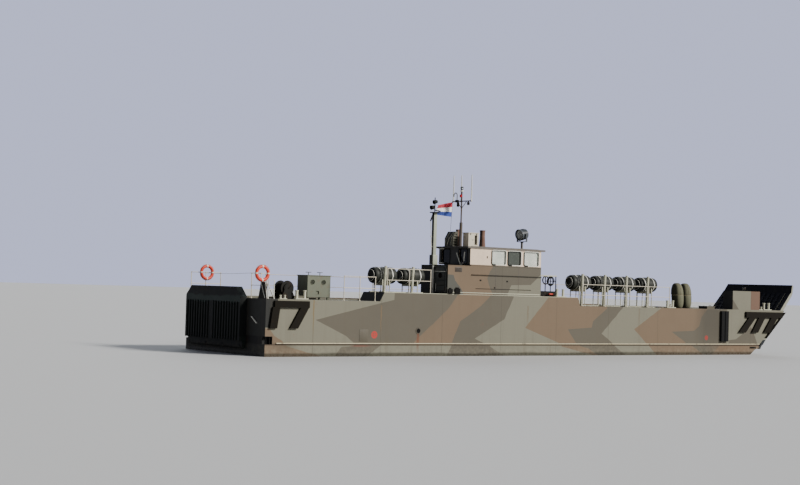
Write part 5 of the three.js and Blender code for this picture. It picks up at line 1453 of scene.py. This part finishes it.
@dataclass
class Wheelhouse:
    """Window frames, gaskets, wipers, rails, vents and seams of both houses."""

    sides: Span = (WALL, -1.05)
    ends: Span = (11.18, 15.66)
    windows: tuple[Span, ...] = ((12.51, 13.40), (13.53, 14.37), (14.56, 15.52))
    front: tuple[Span, ...] = ((-3.33, -2.64), (-2.56, -1.89), (-1.81, -1.15))
    aft: tuple[Span, ...] = ((-3.20, -2.55), (-1.90, -1.25))
    height: Span = (4.335, 5.035)
    corner: float = 0.09
    aft_edge: int = 15
    rail: float = 3.82
    pivot: float = 5.045
    wheel: Point = (14.86, -2.40, 3.98)
    rim: float = 0.19

    def build(self) -> None:
        """Builds the frames first, then what is on the walls, the roof and inside."""
        self.frames()
        self.aft_face()
        self.wipers()
        self.wall()
        self.roof_edge()
        self.vents()
        self.low_house()
        self.inside()

    def openings(self) -> list[tuple[list[Point], Point]]:
        """Returns each window's outline on its wall's outer face, and the wall's outward direction."""
        made = []
        for across, side in zip(self.sides, (-1, 1)):
            for window in self.windows:
                path = [(along, across, up) for along, up in rounded(window, self.height, self.corner)]
                made.append((path, (0, side, 0)))
        for along, side, face in ((self.ends[1], 1, self.front), (self.ends[0], -1, self.aft)):
            for window in face:
                path = [(along, across, up) for across, up in rounded(window, self.height, self.corner)]
                made.append((path, (side, 0, 0)))
        return made

    def frames(self) -> None:
        """Adds white frames outside the windows, dark ones as painted shade aft, dark gaskets inside, and
        aft-edge seals.
        """
        white, dark = Piece("window_frames"), Piece("window_gaskets")
        for path, way in self.openings():
            # On the aft face the outer frames are dark, as painted shade.
            outer = dark if way[0] < 0 else white
            for shift, radius, piece in ((0.002, 0.022, outer), (-0.028, 0.016, dark)):
                moved = [tuple(at + shift * turn for at, turn in zip(point, way)) for point in path]
                piece.tube(moved, radius, 8, closed=True)
            if way[1]:
                seal = [(x - 0.012, y + 0.008 * way[1], z) for x, y, z in path[self.aft_edge:]]
                foot = seal[-1]
                dark.tube([*seal, (foot[0] + 0.16, *foot[1:])], 0.030, 10)
        white.done(Surface.WHITE)
        dark.done(Surface.GASKET)

    def aft_face(self) -> None:
        """Adds the pale ledges, the wiper arms and their pivots to the aft face."""
        pale = Piece("aft_face_fittings")
        for low, high, level in ((-1.50, -1.08, 5.02), (-1.48, -1.10, 4.34)):
            pale.block((11.10, low, level), (11.185, high, level + 0.05), 0.012)
        arms = (((-2.45, 4.83), (-2.75, 4.27)), ((-3.03, 4.86), (-2.99, 4.45)),
                ((-2.95, 4.38), (-2.80, 4.27)))
        for start, end in arms:
            pale.rod((11.145, *start), (11.145, *end), 0.028, 12, bevel=0.004)
        for pivot, _ in arms[:2]:
            pale.rod((11.135, *pivot), (11.185, *pivot), 0.028, 16, bevel=0.005)
        pale.done(Surface.WHITE)

    def wipers(self) -> None:
        """Adds a wiper to each front window."""
        arms = Piece("wipers")
        for low, high in self.front:
            middle = (low + high) / 2
            arms.rod((15.66, middle, self.pivot), (15.695, middle, self.pivot), 0.022, 16, bevel=0.005)
            arms.rod((15.688, middle, self.pivot), (15.688, middle + 0.13, 4.62), 0.007, 10)
            arms.block((15.672, middle + 0.118, 4.43), (15.690, middle + 0.142, 4.85), 0.004)
        arms.done(Surface.GASKET)

    def wall(self) -> None:
        """Adds the grab rail, the base strip, the seams and the ledges."""
        inner, outer, level = WALL + INTO_WALL, WALL - 0.05, self.rail
        rail = Piece("house_grab_rail")
        rail.tube(((11.27, inner, level), (11.27, outer, level), (15.69, outer, level),
                   (15.69, inner, level)),
                  0.013, 10)
        for along in spaced(12.2, 14.8, 4):
            rail.rod((along, inner, level), (along, outer, level), 0.010, 10)
        rail.done(Surface.DARK)
        strips = (
            ("house_trim", Surface.PALE, (((9.90, 15.63), (2.955, 2.985), 0.012, 0.003),)),
            ("house_base_seam", Surface.DARK, (((11.55, 15.05), (3.16, 3.185), 0.010, 0.003),)),
            ("house_seams", Surface.MAST, tuple(((along - 0.012, along + 0.012), (3.04, 4.25), 0.004, 0.002)
                                                for along in (12.78, 14.23))),
            ("house_ledges", Surface.HULL, (((11.20, 15.68), (4.255, 4.285), 0.014, 0.005),
                                            ((9.86, 11.22), (4.20, 4.235), 0.006, 0.002))))
        for name, surface, boxes in strips:
            strip = Piece(name)
            for box in boxes:
                strip.on_wall(*box)
            strip.done(surface)

    def roof_edge(self) -> None:
        """Adds the two beads round the roof, and the two low bars along it."""
        eaves = Piece("roof_edge")
        path = rounded((11.0, 15.9), (-3.47, -1.0), 0.05, 3)
        for level in (5.08, 5.14):
            eaves.tube([(along, across, level) for along, across in path], 0.012, 8, closed=True)
        for across in (-3.3, -1.2):
            eaves.block((11.3, across - 0.012, ROOF_TOP - 0.004), (15.6, across + 0.012, ROOF_TOP + 0.030),
                        0.004)
        eaves.done(Surface.ROOF)

    def vents(self) -> None:
        """Adds the small dark vents of the side wall, each with three slats."""
        small = Piece("house_vents")
        for along, level, wide, high in ((11.84, 3.57, 0.10, 0.07), (13.51, 3.56, 0.10, 0.07),
                                         (12.73, 3.24, 0.08, 0.06), (12.22, 4.68, 0.05, 0.11)):
            small.on_wall((along - wide / 2, along + wide / 2), (level - high / 2, level + high / 2), 0.014,
                          0.006)
            for lift in (-0.25, 0.0, 0.25):
                small.block((along - wide * 0.4, WALL - 0.020, level + lift * high - 0.004),
                            (along + wide * 0.4, WALL - 0.012, level + lift * high + 0.004), 0.0015)
        small.done(Surface.DARK)

    def low_house(self) -> None:
        """Adds the two dark boxes at the foot of the low house, and its louvre."""
        boxes = Piece("low_house_boxes")
        for low, high, top in ((9.88, 10.15, 3.17), (10.27, 10.60, 3.20)):
            boxes.on_wall((low, high), (2.892, top - 0.05), 0.045, 0.012)
            boxes.on_wall((low + 0.06, high - 0.08), (top - 0.06, top), 0.035, 0.008)
        boxes.done(Surface.HOLE)
        louvre = Piece("low_house_louvre")
        louvre.on_wall((10.27, 10.69), (3.93, 4.15), 0.012, 0.006)
        slant = Matrix.Rotation(math.radians(35), 4, "X")
        for level in spaced(3.965, 4.115, 5):
            pose = Matrix.Translation((10.48, WALL - 0.020, level)) @ slant
            louvre.block((-0.19, -0.014, -0.0025), (0.19, 0.014, 0.0025), 0.001, pose)
        louvre.done(Surface.MAST)

    def inside(self) -> None:
        """Adds the steering desk, its wheel and a chair, which show through the windows."""
        desk = Piece("steering_desk")
        outline = ((15.50, 3.02), (14.95, 3.02), (14.95, 3.95), (15.10, 4.12), (15.50, 4.25))
        desk.plate([(along, -3.0, up) for along, up in outline], (0.0, 1.3, 0.0), 0.02)
        desk.done(Surface.DARK)
        wheel = Piece("steering_wheel")
        wheel.ring(self.wheel, (-0.8, 0.0, 0.6), self.rim, 0.014, 40, 10)
        for angle in (90, 210, 330):
            turn = math.radians(angle)
            reach = Vector((0.6 * math.sin(turn) * self.rim, math.cos(turn) * self.rim,
                            0.8 * math.sin(turn) * self.rim))
            wheel.rod(self.wheel, tuple(Vector(self.wheel) + reach), 0.009, 10)
        wheel.rod(self.wheel, (14.98, -2.40, 3.89), 0.022, 16)
        wheel.done(Surface.GASKET)
        chair = Piece("steering_chair")
        foot = (14.20, -2.40, 2.945)
        chair.rod(foot, (*foot[:2], 3.45), 0.045, 20)
        chair.rod(foot, (*foot[:2], 2.98), 0.20, 28, bevel=0.01)
        chair.block((13.97, -2.64, 3.45), (14.45, -2.16, 3.56), 0.045, segments=4)
        chair.block((13.92, -2.62, 3.56), (14.02, -2.18, 4.20), 0.04, segments=4)
        chair.done(Surface.GASKET)


@dataclass
class LowHouseDoor:
    """What is on the door of the low house: a frame, a small window, dogs and stiffening ribs."""

    face: float = 9.794
    across: Span = (-3.33, -2.48)
    up: Span = (2.97, 4.18)

    def build(self) -> None:
        """Builds the raised parts, then the pane."""
        x = self.face
        raised = Piece("door_stiffeners")
        path = rounded((self.across[0] + 0.05, self.across[1] - 0.05),
                       (self.up[0] + 0.05, self.up[1] - 0.05), 0.08)
        raised.tube([(x - 0.004, across, level) for across, level in path], 0.012, 8, closed=True)
        for level in (3.28, 3.52):
            raised.block((x - 0.022, self.across[0] + 0.10, level - 0.012),
                         (x + 0.004, self.across[1] - 0.26, level + 0.012), 0.004)
        for level in (3.12, 3.50, 3.88, 4.08):
            raised.rod((x - 0.030, self.across[1] - 0.055, level),
                       (x + 0.004, self.across[1] - 0.055, level), 0.016, 14)
            raised.block((x - 0.036, self.across[1] - 0.070, level - 0.055),
                         (x - 0.022, self.across[1] - 0.045, level + 0.055), 0.005)
        raised.done(Surface.DARK, "aft_house_door")
        port = Piece("door_window")
        port.ring((x - 0.004, -2.93, 3.74), (1, 0, 0), 0.115, 0.016, 36, 10)
        port.done(Surface.DARK, "aft_house_door")
        pale = Piece("door_bars")
        pale.block((x - 0.020, self.across[0] + 0.02, 3.915), (x + 0.004, self.across[1] - 0.02, 3.945),
                   0.004)
        pale.rod((x - 0.018, -2.63, 2.99), (x - 0.018, -2.63, 3.36), 0.012, 12, bevel=0.003)
        pale.done(Surface.WHITE, "aft_house_door")
        # Painted shade: the pane is drawn near black for the dark room behind it.
        pane = Piece("door_pane")
        pane.rod((x - 0.006, -2.93, 3.74), (x + 0.003, -2.93, 3.74), 0.11, 36)
        pane.done(Surface.HOLE, "aft_house_door")


@dataclass
class RoofGear:
    """What is on the exhaust trunks, the ventilation unit and the locker of the roof."""

    trunks: tuple[tuple[float, float, float, float], ...] = ((11.66, -1.84, 0.080, 5.99),
                                                             (12.56, -2.62, 0.122, 5.98))

    def build(self) -> None:
        """Builds the trunks' sleeves and mouths, the unit's slats and bars, and the locker's fittings."""
        sleeves, mouths = Piece("exhaust_sleeves"), Piece("exhaust_mouths")
        for along, across, radius, top in self.trunks:
            rise = top - ROOF_TOP
            sleeves.turned((along, across, ROOF_TOP), (0, 0, 1), (
                (radius + 0.037, 0.0), (radius + 0.037, 0.038), (radius + 0.030, 0.044),
                (radius + 0.003, 0.048), (radius + 0.003, rise * 0.45), (radius + 0.010, rise * 0.46),
                (radius + 0.010, rise * 0.49), (radius + 0.003, rise * 0.50),
                (radius + 0.003, rise - 0.065), (radius + 0.014, rise - 0.06),
                (radius + 0.014, rise - 0.008), (radius + 0.002, rise + 0.004),
                (radius - 0.02, rise + 0.004), (radius - 0.02, rise - 0.02)), 48)
            # Painted shade: a near-black disc in each trunk's mouth.
            mouths.rod((along, across, top - 0.002), (along, across, top + 0.002), radius - 0.018, 40)
        sleeves.done(Surface.RUSTY)
        mouths.done(Surface.HOLE)
        slats = Piece("roof_unit_slats")
        for level in spaced(5.27, 5.76, 5):
            tilt = Matrix.Translation((11.40, -1.995, level)) @ Matrix.Rotation(math.radians(-38), 4, "X")
            slats.block((-0.10, -0.030, -0.004), (0.10, 0.030, 0.004), 0.002, tilt)
        slats.done(Surface.UNIT)
        bars = Piece("roof_unit_bars")
        for high, low in ((-1.86, -1.60), (-1.60, -1.44), (-1.95, -1.90)):
            bars.rod((11.405, high, 5.86), (11.212, high * 0.55 + low * 0.45, 5.54), 0.014, 12)
            bars.rod((11.212, high * 0.55 + low * 0.45, 5.54), (11.212, low, 5.20), 0.014, 12)
        bars.done(Surface.PALE)
        locker = Piece("roof_locker_fittings")
        for along in (11.82, 12.20):
            locker.block((along - 0.02, -2.655, 5.74), (along + 0.02, -2.636, 5.83), 0.004)
        locker.rod((11.90, -2.64, 5.50), (12.02, -2.64, 5.50), 0.008, 10)
        locker.done(Surface.STEEL)
        # Painted shade: a near-black plate and ledges inside the locker's bay.
        dark = Piece("roof_locker_bay")
        dark.block((12.085, -2.375, 5.27), (12.235, -2.365, 5.72), 0.004)
        for level in (5.36, 5.50, 5.64):
            dark.block((12.083, -2.60, level - 0.006), (12.237, -2.37, level + 0.006), 0.002)
        dark.done(Surface.HOLE)


@dataclass
class Topsides:
    """What is welded to the hull and stands along its decks."""

    outlet: Span = (8.21, 1.16)
    bolts: float = 0.128
    lane: tuple[tuple[float, int], ...] = ((-1.80, -1), (2.80, 1))
    rail: float = -3.395

    def build(self) -> None:
        """Builds what is on the side first, then what is at the stern, in the lane and at the bow."""
        self.discharge()
        self.side_plates()
        self.pockets()
        self.ladders()
        self.sockets()
        self.corner()
        self.bow()
        self.fairleads()
        self.seams()

    def discharge(self) -> None:
        """Adds the round discharge port with its eight bolts."""
        x, z = self.outlet
        ring = Piece("discharge_ring")
        ring.turned((x, WALL + INTO_WALL, z), (0, -1, 0), (
            (0.105, 0.0), (0.150, 0.0), (0.150, 0.016), (0.144, 0.022), (0.111, 0.022), (0.105, 0.016)), 44)
        for angle in range(0, 360, 45):
            turn = math.radians(angle)
            along, up = x + self.bolts * math.cos(turn), z + self.bolts * math.sin(turn)
            ring.rod((along, WALL, up), (along, WALL - 0.030, up), 0.010, 6)
        ring.done(Surface.HULL)
        # Painted shade: a near-black disc inside the discharge port.
        hole = Piece("discharge_mouth")
        hole.rod((x, WALL + 0.002, z), (x, WALL - 0.008, z), 0.108, 40)
        hole.done(Surface.HOLE)

    def side_plates(self) -> None:
        """Adds the doubler plate abaft the discharge port, and the dark drain recess at the bow."""
        plate = Piece("hull_doubler")
        outline = ((4.90, 1.21), (5.39, 1.21), (5.39, 0.67), (4.90, 0.67))
        plate.plate([(along, WALL + INTO_WALL, up) for along, up in outline], (0.0, -0.014, 0.0), 0.004)
        plate.done(Surface.HULL)
        # Painted shade: a near-black plate stands for the drain recess.
        notch = Piece("bow_drain_recess")
        notch.on_wall((31.36, 31.88), (0.34, 0.44), 0.010, 0.004)
        notch.done(Surface.HOLE)

    def pockets(self) -> None:
        """Adds the upright bars in the mooring pockets, and the small pale bar on the transom."""
        # The bars are drawn near black, painted shade inside the pockets.
        bars = Piece("mooring_pocket_bars")
        for across in (-3.35, 3.35):
            for along in (0.08, 0.27):
                bars.rod((along, across, 0.53), (along, across, 0.86), 0.026, 16)
        bars.done(Surface.HOLE)
        pale = Piece("transom_bar")
        pale.rod((-0.03, -2.33, 1.68), (-0.03, -2.75, 1.42), 0.030, 16, bevel=0.006)
        for across, level in ((-2.37, 1.655), (-2.71, 1.445)):
            pale.rod((-0.03, across, level), (0.004, across, level), 0.020, 12)
        pale.done(Surface.WHITE)

    def ladders(self) -> None:
        """Adds rungs from the vehicle deck up to the wing decks."""
        rungs = Piece("lane_ladders")
        for edge, side in self.lane:
            wall, out = edge + side * 0.004, edge - side * 0.09
            for along in (4.9, 22.4):
                for level in spaced(0.75, 2.25, 6):
                    rungs.tube([(along + run, across, level) for run, across in (
                        (-0.18, wall), (-0.18, out), (0.18, out), (0.18, wall))], 0.011, 8)
        rungs.done(Surface.PALE)

    def sockets(self) -> None:
        """Adds the lashing sockets in the vehicle deck."""
        sockets = Piece("lashing_sockets")
        level = VEHICLE_DECK + 0.006
        for along in spaced(1.6, 25.6, 13):
            for across in (-1.35, 0.5, 2.35):
                sockets.ring((along, across, VEHICLE_DECK + 0.002), (0, 0, 1), 0.075, 0.010, 16, 6)
                sockets.rod((along - 0.07, across, level), (along + 0.07, across, level), 0.009, 6)
        sockets.done(Surface.STEEL)

    def corner(self) -> None:
        """Adds the white gate and the safety wire at the starboard quarter."""
        gate = Piece("quarter_gate")
        outline = ((0.12, 2.47), (0.12, 3.27), (0.40, 3.27), (0.40, 2.47))
        gate.tube([(along, self.rail, up) for along, up in outline], 0.018, 12)
        gate.rod((0.12, self.rail, 2.87), (0.40, self.rail, 2.87), 0.012, 12)
        gate.done(Surface.WHITE)
        wire = Piece("stern_safety_wire")
        points = [(0.14, -1.95 + share * (3.355 + 1.95), 3.55 - 0.05 * math.sin(math.pi * share))
                  for share in spaced(0.0, 1.0, 17)]
        wire.tube(points, 0.007, 8)
        wire.done(Surface.STEEL)

    def bow(self) -> None:
        """Adds the lamp on the bow winch house."""
        house = Piece("bow_house_fittings")
        house.rod((31.52, -2.80, 3.485), (31.52, -2.80, 3.56), 0.05, 20, bevel=0.008)
        house.block((31.44, -2.88, 3.56), (31.60, -2.72, 3.70), 0.02)
        house.done(Surface.DARK)
        lamp = Piece("bow_house_lamp")
        lamp.block((31.425, -2.86, 3.58), (31.445, -2.74, 3.68), 0.008)
        lamp.done(Surface.LENS)

    def fairleads(self) -> None:
        """Adds four fairleads with two rollers each."""
        rollers = Piece("fairlead_rollers")
        plate = WING_DECK + 0.03
        for along, across in ((0.9, -3.30), (32.35, -3.26), (0.9, 3.30), (32.35, 3.30)):
            rollers.block((along - 0.19, across - 0.07, WING_DECK), (along + 0.19, across + 0.07, plate),
                          0.006)
            for shift in (-0.11, 0.11):
                rollers.turned((along + shift, across, plate), (0, 0, 1), (
                    (0.0, 0.0), (0.055, 0.0), (0.042, 0.03), (0.038, 0.07), (0.044, 0.11), (0.056, 0.13),
                    (0.05, 0.145), (0.0, 0.15)), 28)
        rollers.done(Surface.PALE)

    def seams(self) -> None:
        """Adds the flat bars along the lane, and the pale edge of the raised deck."""
        bars = Piece("deck_edge_bars")
        for edge, side in self.lane:
            bars.block((0.05, edge + side * 0.004, WING_DECK - 0.004),
                       (26.0, edge + side * 0.024, WING_DECK + 0.055), 0.005)
        bars.done(Surface.HULL)
        edge = Piece("raised_deck_edge")
        edge.rod((6.25, WALL + 0.006, RAISED_DECK), (18.20, WALL + 0.006, RAISED_DECK), 0.011, 10)
        edge.done(Surface.PALE)


@dataclass
class Ramps:
    """Fittings of the two ramps. Each rides on its own ramp."""

    hinge: float = 0.36
    bow_hinge: float = 33.094954
    bow_lean: float = 41.3

    def build(self) -> None:
        """Builds the fittings of the bow ramp, then those of the stern ramp."""
        self.bow()
        self.stern()

    def on_bow(self, across: float, along: float, out: float) -> Point:
        """Returns the place on the leaning bow ramp: across, up its length, and outboard of its middle."""
        lean = math.radians(self.bow_lean)
        return (self.bow_hinge + along * math.sin(lean) + out * math.cos(lean), across,
                self.hinge + along * math.cos(lean) - out * math.sin(lean))

    def bow(self) -> None:
        """Adds the lifting eyes and tread bars of the bow ramp."""
        lean = Matrix.Rotation(math.radians(self.bow_lean), 4, "Y")
        eyes = Piece("bow_ramp_eyes")
        for across in (-2.45, 1.75):
            centre = self.on_bow(across, 2.20, -0.12)
            eyes.ring(centre, (0, 1, 0), 0.055, 0.018, 28, 10)
            foot = self.on_bow(across, 2.20, -0.075)
            eyes.block((-0.02, -0.06, -0.07), (0.02, 0.06, 0.07), 0.008, Matrix.Translation(foot) @ lean)
        eyes.done(Surface.STEEL, "bow_ramp")
        treads = Piece("bow_ramp_treads")
        for along in spaced(0.35, 3.7, 14):
            for low, high in ((-2.5, -1.0), (0.6, 2.1)):
                pose = Matrix.Translation(self.on_bow((low + high) / 2, along, -0.101)) @ lean
                treads.block((-0.006, (low - high) / 2, -0.014), (0.006, (high - low) / 2, 0.014), 0.003,
                             pose)
        treads.done(Surface.BOW_RAMP, "bow_ramp")

    def stern(self) -> None:
        """Adds the lifting eyes of the stern ramp."""
        eyes = Piece("stern_ramp_eyes")
        for across in (-1.45, 2.50):
            for level in (2.40, 1.40):
                eyes.ring((0.03, across, level), (0, 1, 0), 0.05, 0.016, 28, 10)
        eyes.done(Surface.STEEL, "stern_ramp")


@dataclass
class DeckGear:
    """Detail of the winch, the ventilation box, the locker and the stern corner post."""

    shaft: Span = (1.41, WING_DECK + 0.47)
    vents: tuple[float, ...] = tuple(2.50 + share * 1.21 for share in (0.22, 0.70))
    vent_face: float = -2.78
    vent_level: float = 3.24
    hose: Point = (17.41, -2.27, 3.665)
    posts: Span = (17.05, 17.76)

    def build(self) -> None:
        """Builds each group of fittings."""
        self.winch()
        self.vent_box()
        self.locker()
        self.corner_post()

    def winch(self) -> None:
        """Winds mooring rope on the winch drum, and adds its flange rims, motor ribs and crank."""
        along, up = self.shaft
        rope = Piece("winch_rope")
        for radius, count, first in ((0.226, 15, -2.815), (0.252, 14, -2.80)):
            for index in range(count):
                rope.ring((along, first + index * 0.0325, up), (0, 1, 0), radius, 0.016, 36, 6)
        rope.done(Surface.RUBBER)
        rims = Piece("winch_rims")
        for across in (-2.8475, -2.2975):
            rims.ring((along, across, up), (0, 1, 0), 0.320, 0.014, 56, 8)
        for across in (-2.10, -2.06, -2.02, -1.98):
            rims.block((1.262, across - 0.008, WING_DECK + 0.315),
                       (1.578, across + 0.008, WING_DECK + 0.625), 0.006)
        rims.tube(((along, -2.952, up), (along, -2.99, up), (1.55, -2.99, WING_DECK + 0.60)), 0.014, 10)
        rims.done(Surface.DARK)

    def vent_box(self) -> None:
        """Adds the grilles of the round vents, two flat bars between them and their dark mouths."""
        face, level = self.vent_face, self.vent_level
        grille = Piece("vent_box_grilles")
        for along in self.vents:
            grille.ring((along, face - 0.004, level), (0, 1, 0), 0.112, 0.012, 40, 8)
            for lift in spaced(-0.08, 0.08, 5):
                half = math.sqrt(0.108 ** 2 - lift ** 2)
                grille.rod((along - half, face + 0.012, level + lift),
                           (along + half, face + 0.012, level + lift), 0.006, 8)
        for low, high in ((2.69, 2.70), (2.86, 2.87)):
            grille.block((2.965, face - 0.010, low), (3.125, face + 0.006, high), 0.003)
        grille.done(Surface.VENT)
        # Painted shade: a near-black disc behind each grille.
        dark = Piece("vent_box_mouths")
        for along in self.vents:
            dark.rod((along, face + 0.046, level), (along, face + 0.049, level), 0.104, 36)
        dark.done(Surface.HOLE)

    def locker(self) -> None:
        """Adds the locker's light top rung, hose windings, outer posts, latches and red fitting."""
        rung = Piece("locker_rung")
        rung.block((16.686, -2.304, 3.898), (17.79, -2.236, 3.953), 0.008)
        rung.done(Surface.PALE)
        x, y, z = self.hose
        hose = Piece("locker_hose")
        for shift, radius in ((-0.045, 0.195), (0.0, 0.160), (0.0, 0.228), (0.045, 0.195)):
            hose.ring((x, y + shift, z), (0, 1, 0), radius, 0.022, 48, 10)
        for along in self.posts:
            hose.rod((along, y, RAISED_DECK + OFF_DECK), (along, y, 3.91), 0.026, 14)
        hose.rod((self.posts[0], y, z), (self.posts[1], y, z), 0.018, 12)
        for along in (16.60, 17.20):
            hose.block((along - 0.03, -2.652, 3.06), (along + 0.03, -2.638, 3.13), 0.005)
        hose.done(Surface.GASKET)
        red = Piece("locker_red_fitting")
        red.rod((16.93, -2.675, 3.01), (17.20, -2.675, 3.01), 0.045, 20, bevel=0.012)
        red.done(Surface.RED)

    def corner_post(self) -> None:
        """Adds the light edge bars of the tapered stern corner post, and the triangular frame beside it."""
        edge = Piece("corner_post_bars")
        outer, inner = (0.058, -3.225, 3.175), (0.058, -2.935, 3.175)
        for start, end in (((0.058, -3.40, 2.475), outer), ((0.058, -2.75, 2.475), inner), (outer, inner)):
            edge.rod(start, end, 0.018, 14)
        edge.rod((0.010, -3.30, 2.50), (0.010, -2.96, 3.15), 0.016, 14)
        peak = (0.37, -2.90, 3.13)
        edge.tube(((0.33, -2.90, 2.471), peak, (0.72, -2.90, 2.471)), 0.028, 10)
        edge.rod(peak, (0.06, -2.935, 3.15), 0.015, 12)
        edge.done(Surface.WHITE)


@dataclass
class Ensign:
    """The striped ensign, flying aft from the halyard."""

    hoist: float = 0.71
    fly: float = 0.98
    across: float = -1.72
    top: float = 7.295
    droop: float = 0.20
    lift: float = 0.05
    steps: tuple[int, int] = (48, 30)

    def build(self) -> None:
        across_steps, up_steps = self.steps
        cloth = bmesh.new()
        bmesh.ops.create_grid(cloth, x_segments=across_steps, y_segments=up_steps, size=0.5)
        chart = cloth.loops.layers.uv.new("cloth")
        for face in cloth.faces:
            for loop in face.loops:
                loop[chart].uv = (loop.vert.co.x + 0.5, loop.vert.co.y + 0.5)
        for vert in cloth.verts:
            vert.co = self.wave(vert.co.x + 0.5, vert.co.y + 0.5)
        made = link("ensign_cloth", cloth, station(0.0, 0.0, 0.0))
        made.data.shade_smooth()
        coat(made, Surface.CLOTH)
        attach(made, "hull")
        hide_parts("ensign")
        LOG.info("ensign: %.2f by %.2f m of bunting", self.fly, self.hoist)

    def wave(self, share: float, level: float) -> Point:
        """Returns where one point of the flat cloth is, given its share of the fly and of the hoist."""
        drift = share * self.fly
        luff = 11.380 - 0.045 * (1 - level)
        swell = 0.050 * share ** 0.8 * math.sin(1.7 * math.pi * share + 0.9 * (1 - level))
        fold = 0.036 * share * math.sin(3.4 * math.pi * level + 1.2 * share)
        along = luff - 0.955 * drift
        rise = self.top - self.hoist * (1 - level) - share * (self.droop * level - self.lift * (1 - level))
        return along, self.across + swell + fold, rise


@dataclass
class Stage:
    """Floor at the waterline, soft studio light and the photograph's camera, its focal length in pixels."""

    place: Point = (-33.216, -56.843, 3.114)
    yaw: float = 36.982
    pitch: float = 1.749
    roll: float = 1.741
    focal: float = 1475.7
    sensor: float = 36.0
    wide: int = 800

    def build(self) -> None:
        """Builds the floor, the lights and the camera."""
        self.floor()
        self.surroundings()
        self.sun("key", 5.0, 12, (1.0, 0.96, 0.90), (0.5, -0.8, 0.55))
        self.sun("fill", 1.3, 45, (0.92, 0.96, 1.0), (0.5, 0.8, 0.35))
        self.camera()

    def floor(self) -> None:
        """Adds the pale floor."""
        plane = bmesh.new()
        bmesh.ops.create_grid(plane, x_segments=1, y_segments=1, size=600.0)
        made = link("pale_floor", plane, Vector((0.0, 0.0, WATERLINE)))
        made.data.materials.append(MaterialTree("pale floor").finish(linear(196, 198, 200), 0.9))

    def surroundings(self) -> None:
        """Adds the even surrounding light, which is dimmer where it is seen in or bounced off the craft."""
        world = bpy.data.worlds.new("studio")
        world.use_nodes = True
        tree = Graph(world.node_tree)
        path = tree.node("ShaderNodeLightPath")
        bounced = tree.out(path, "Is Glossy Ray").scaled(0.75, tree.out(path, "Is Diffuse Ray"))
        colour = tree.mix(bounced, (0.62, 0.66, 0.93), (0.120, 0.125, 0.14))
        tree.feed(world.node_tree.nodes["Background"].inputs[0], colour)
        bpy.context.scene.world = world

    def sun(self, name: str, energy: float, angle: float, colour: Colour, way: Point) -> None:
        """Adds one soft sun, given how wide it is in degrees and where it stands."""
        light = bpy.data.lights.new(name, "SUN")
        light.energy = energy
        light.angle = math.radians(angle)
        light.color = colour
        lamp = bpy.data.objects.new(name, light)
        lamp.rotation_euler = Vector(way).to_track_quat("Z", "Y").to_euler()
        bpy.context.scene.collection.objects.link(lamp)

    def camera(self) -> None:
        """Adds the camera where the photograph was taken from."""
        yaw, pitch, roll = (math.radians(angle) for angle in (self.yaw, self.pitch, self.roll))
        ahead = Vector((math.cos(pitch) * math.sin(yaw), math.cos(pitch) * math.cos(yaw), math.sin(pitch)))
        right = Vector((math.cos(yaw), -math.sin(yaw), 0.0))
        above = right.cross(ahead)
        side = right * math.cos(roll) + above * math.sin(roll)
        top = above * math.cos(roll) - right * math.sin(roll)
        turn = Matrix((side, top, -ahead)).transposed().to_4x4()
        lens = bpy.data.cameras.new("photograph")
        lens.sensor_fit = "HORIZONTAL"
        lens.sensor_width = self.sensor
        lens.lens = self.focal * self.sensor / self.wide
        lens.clip_end = 2000.0
        made = bpy.data.objects.new("photograph", lens)
        made.matrix_world = Matrix.Translation(station(*self.place)) @ turn
        bpy.context.scene.collection.objects.link(made)
        bpy.context.scene.camera = made


def dress_nodes(frame: dict) -> None:
    """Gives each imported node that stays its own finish."""
    for surface, names in SURFACES.items():
        for name in names:
            coat(frame["nodes"][name], surface)
            LOG.info("%s: finished as %s", name, surface.value[0])


def main() -> None:
    """Builds the finishes, then the stage and its camera, and then each group of parts in order."""
    logging.basicConfig(level=logging.INFO, format="%(name)s: %(message)s")
    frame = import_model()
    wear = Wear()
    FINISHES.update((surface, recipe.make(wear)) for surface, recipe in recipes().items())
    dress_nodes(frame)
    Stage().build()
    parts = (Topsides(), Ramps(), Wheelhouse(), LowHouseDoor(), RoofGear(), MainMast(), SignalPost(),
             Searchlight(), Rafts(), Lifebuoys(), TubeFenders(), Bollards(), Rails(), DeckGear(), Ensign())
    for part in parts:
        part.build()
        LOG.info("built %s", type(part).__name__)


if __name__ == "__main__":
    main()
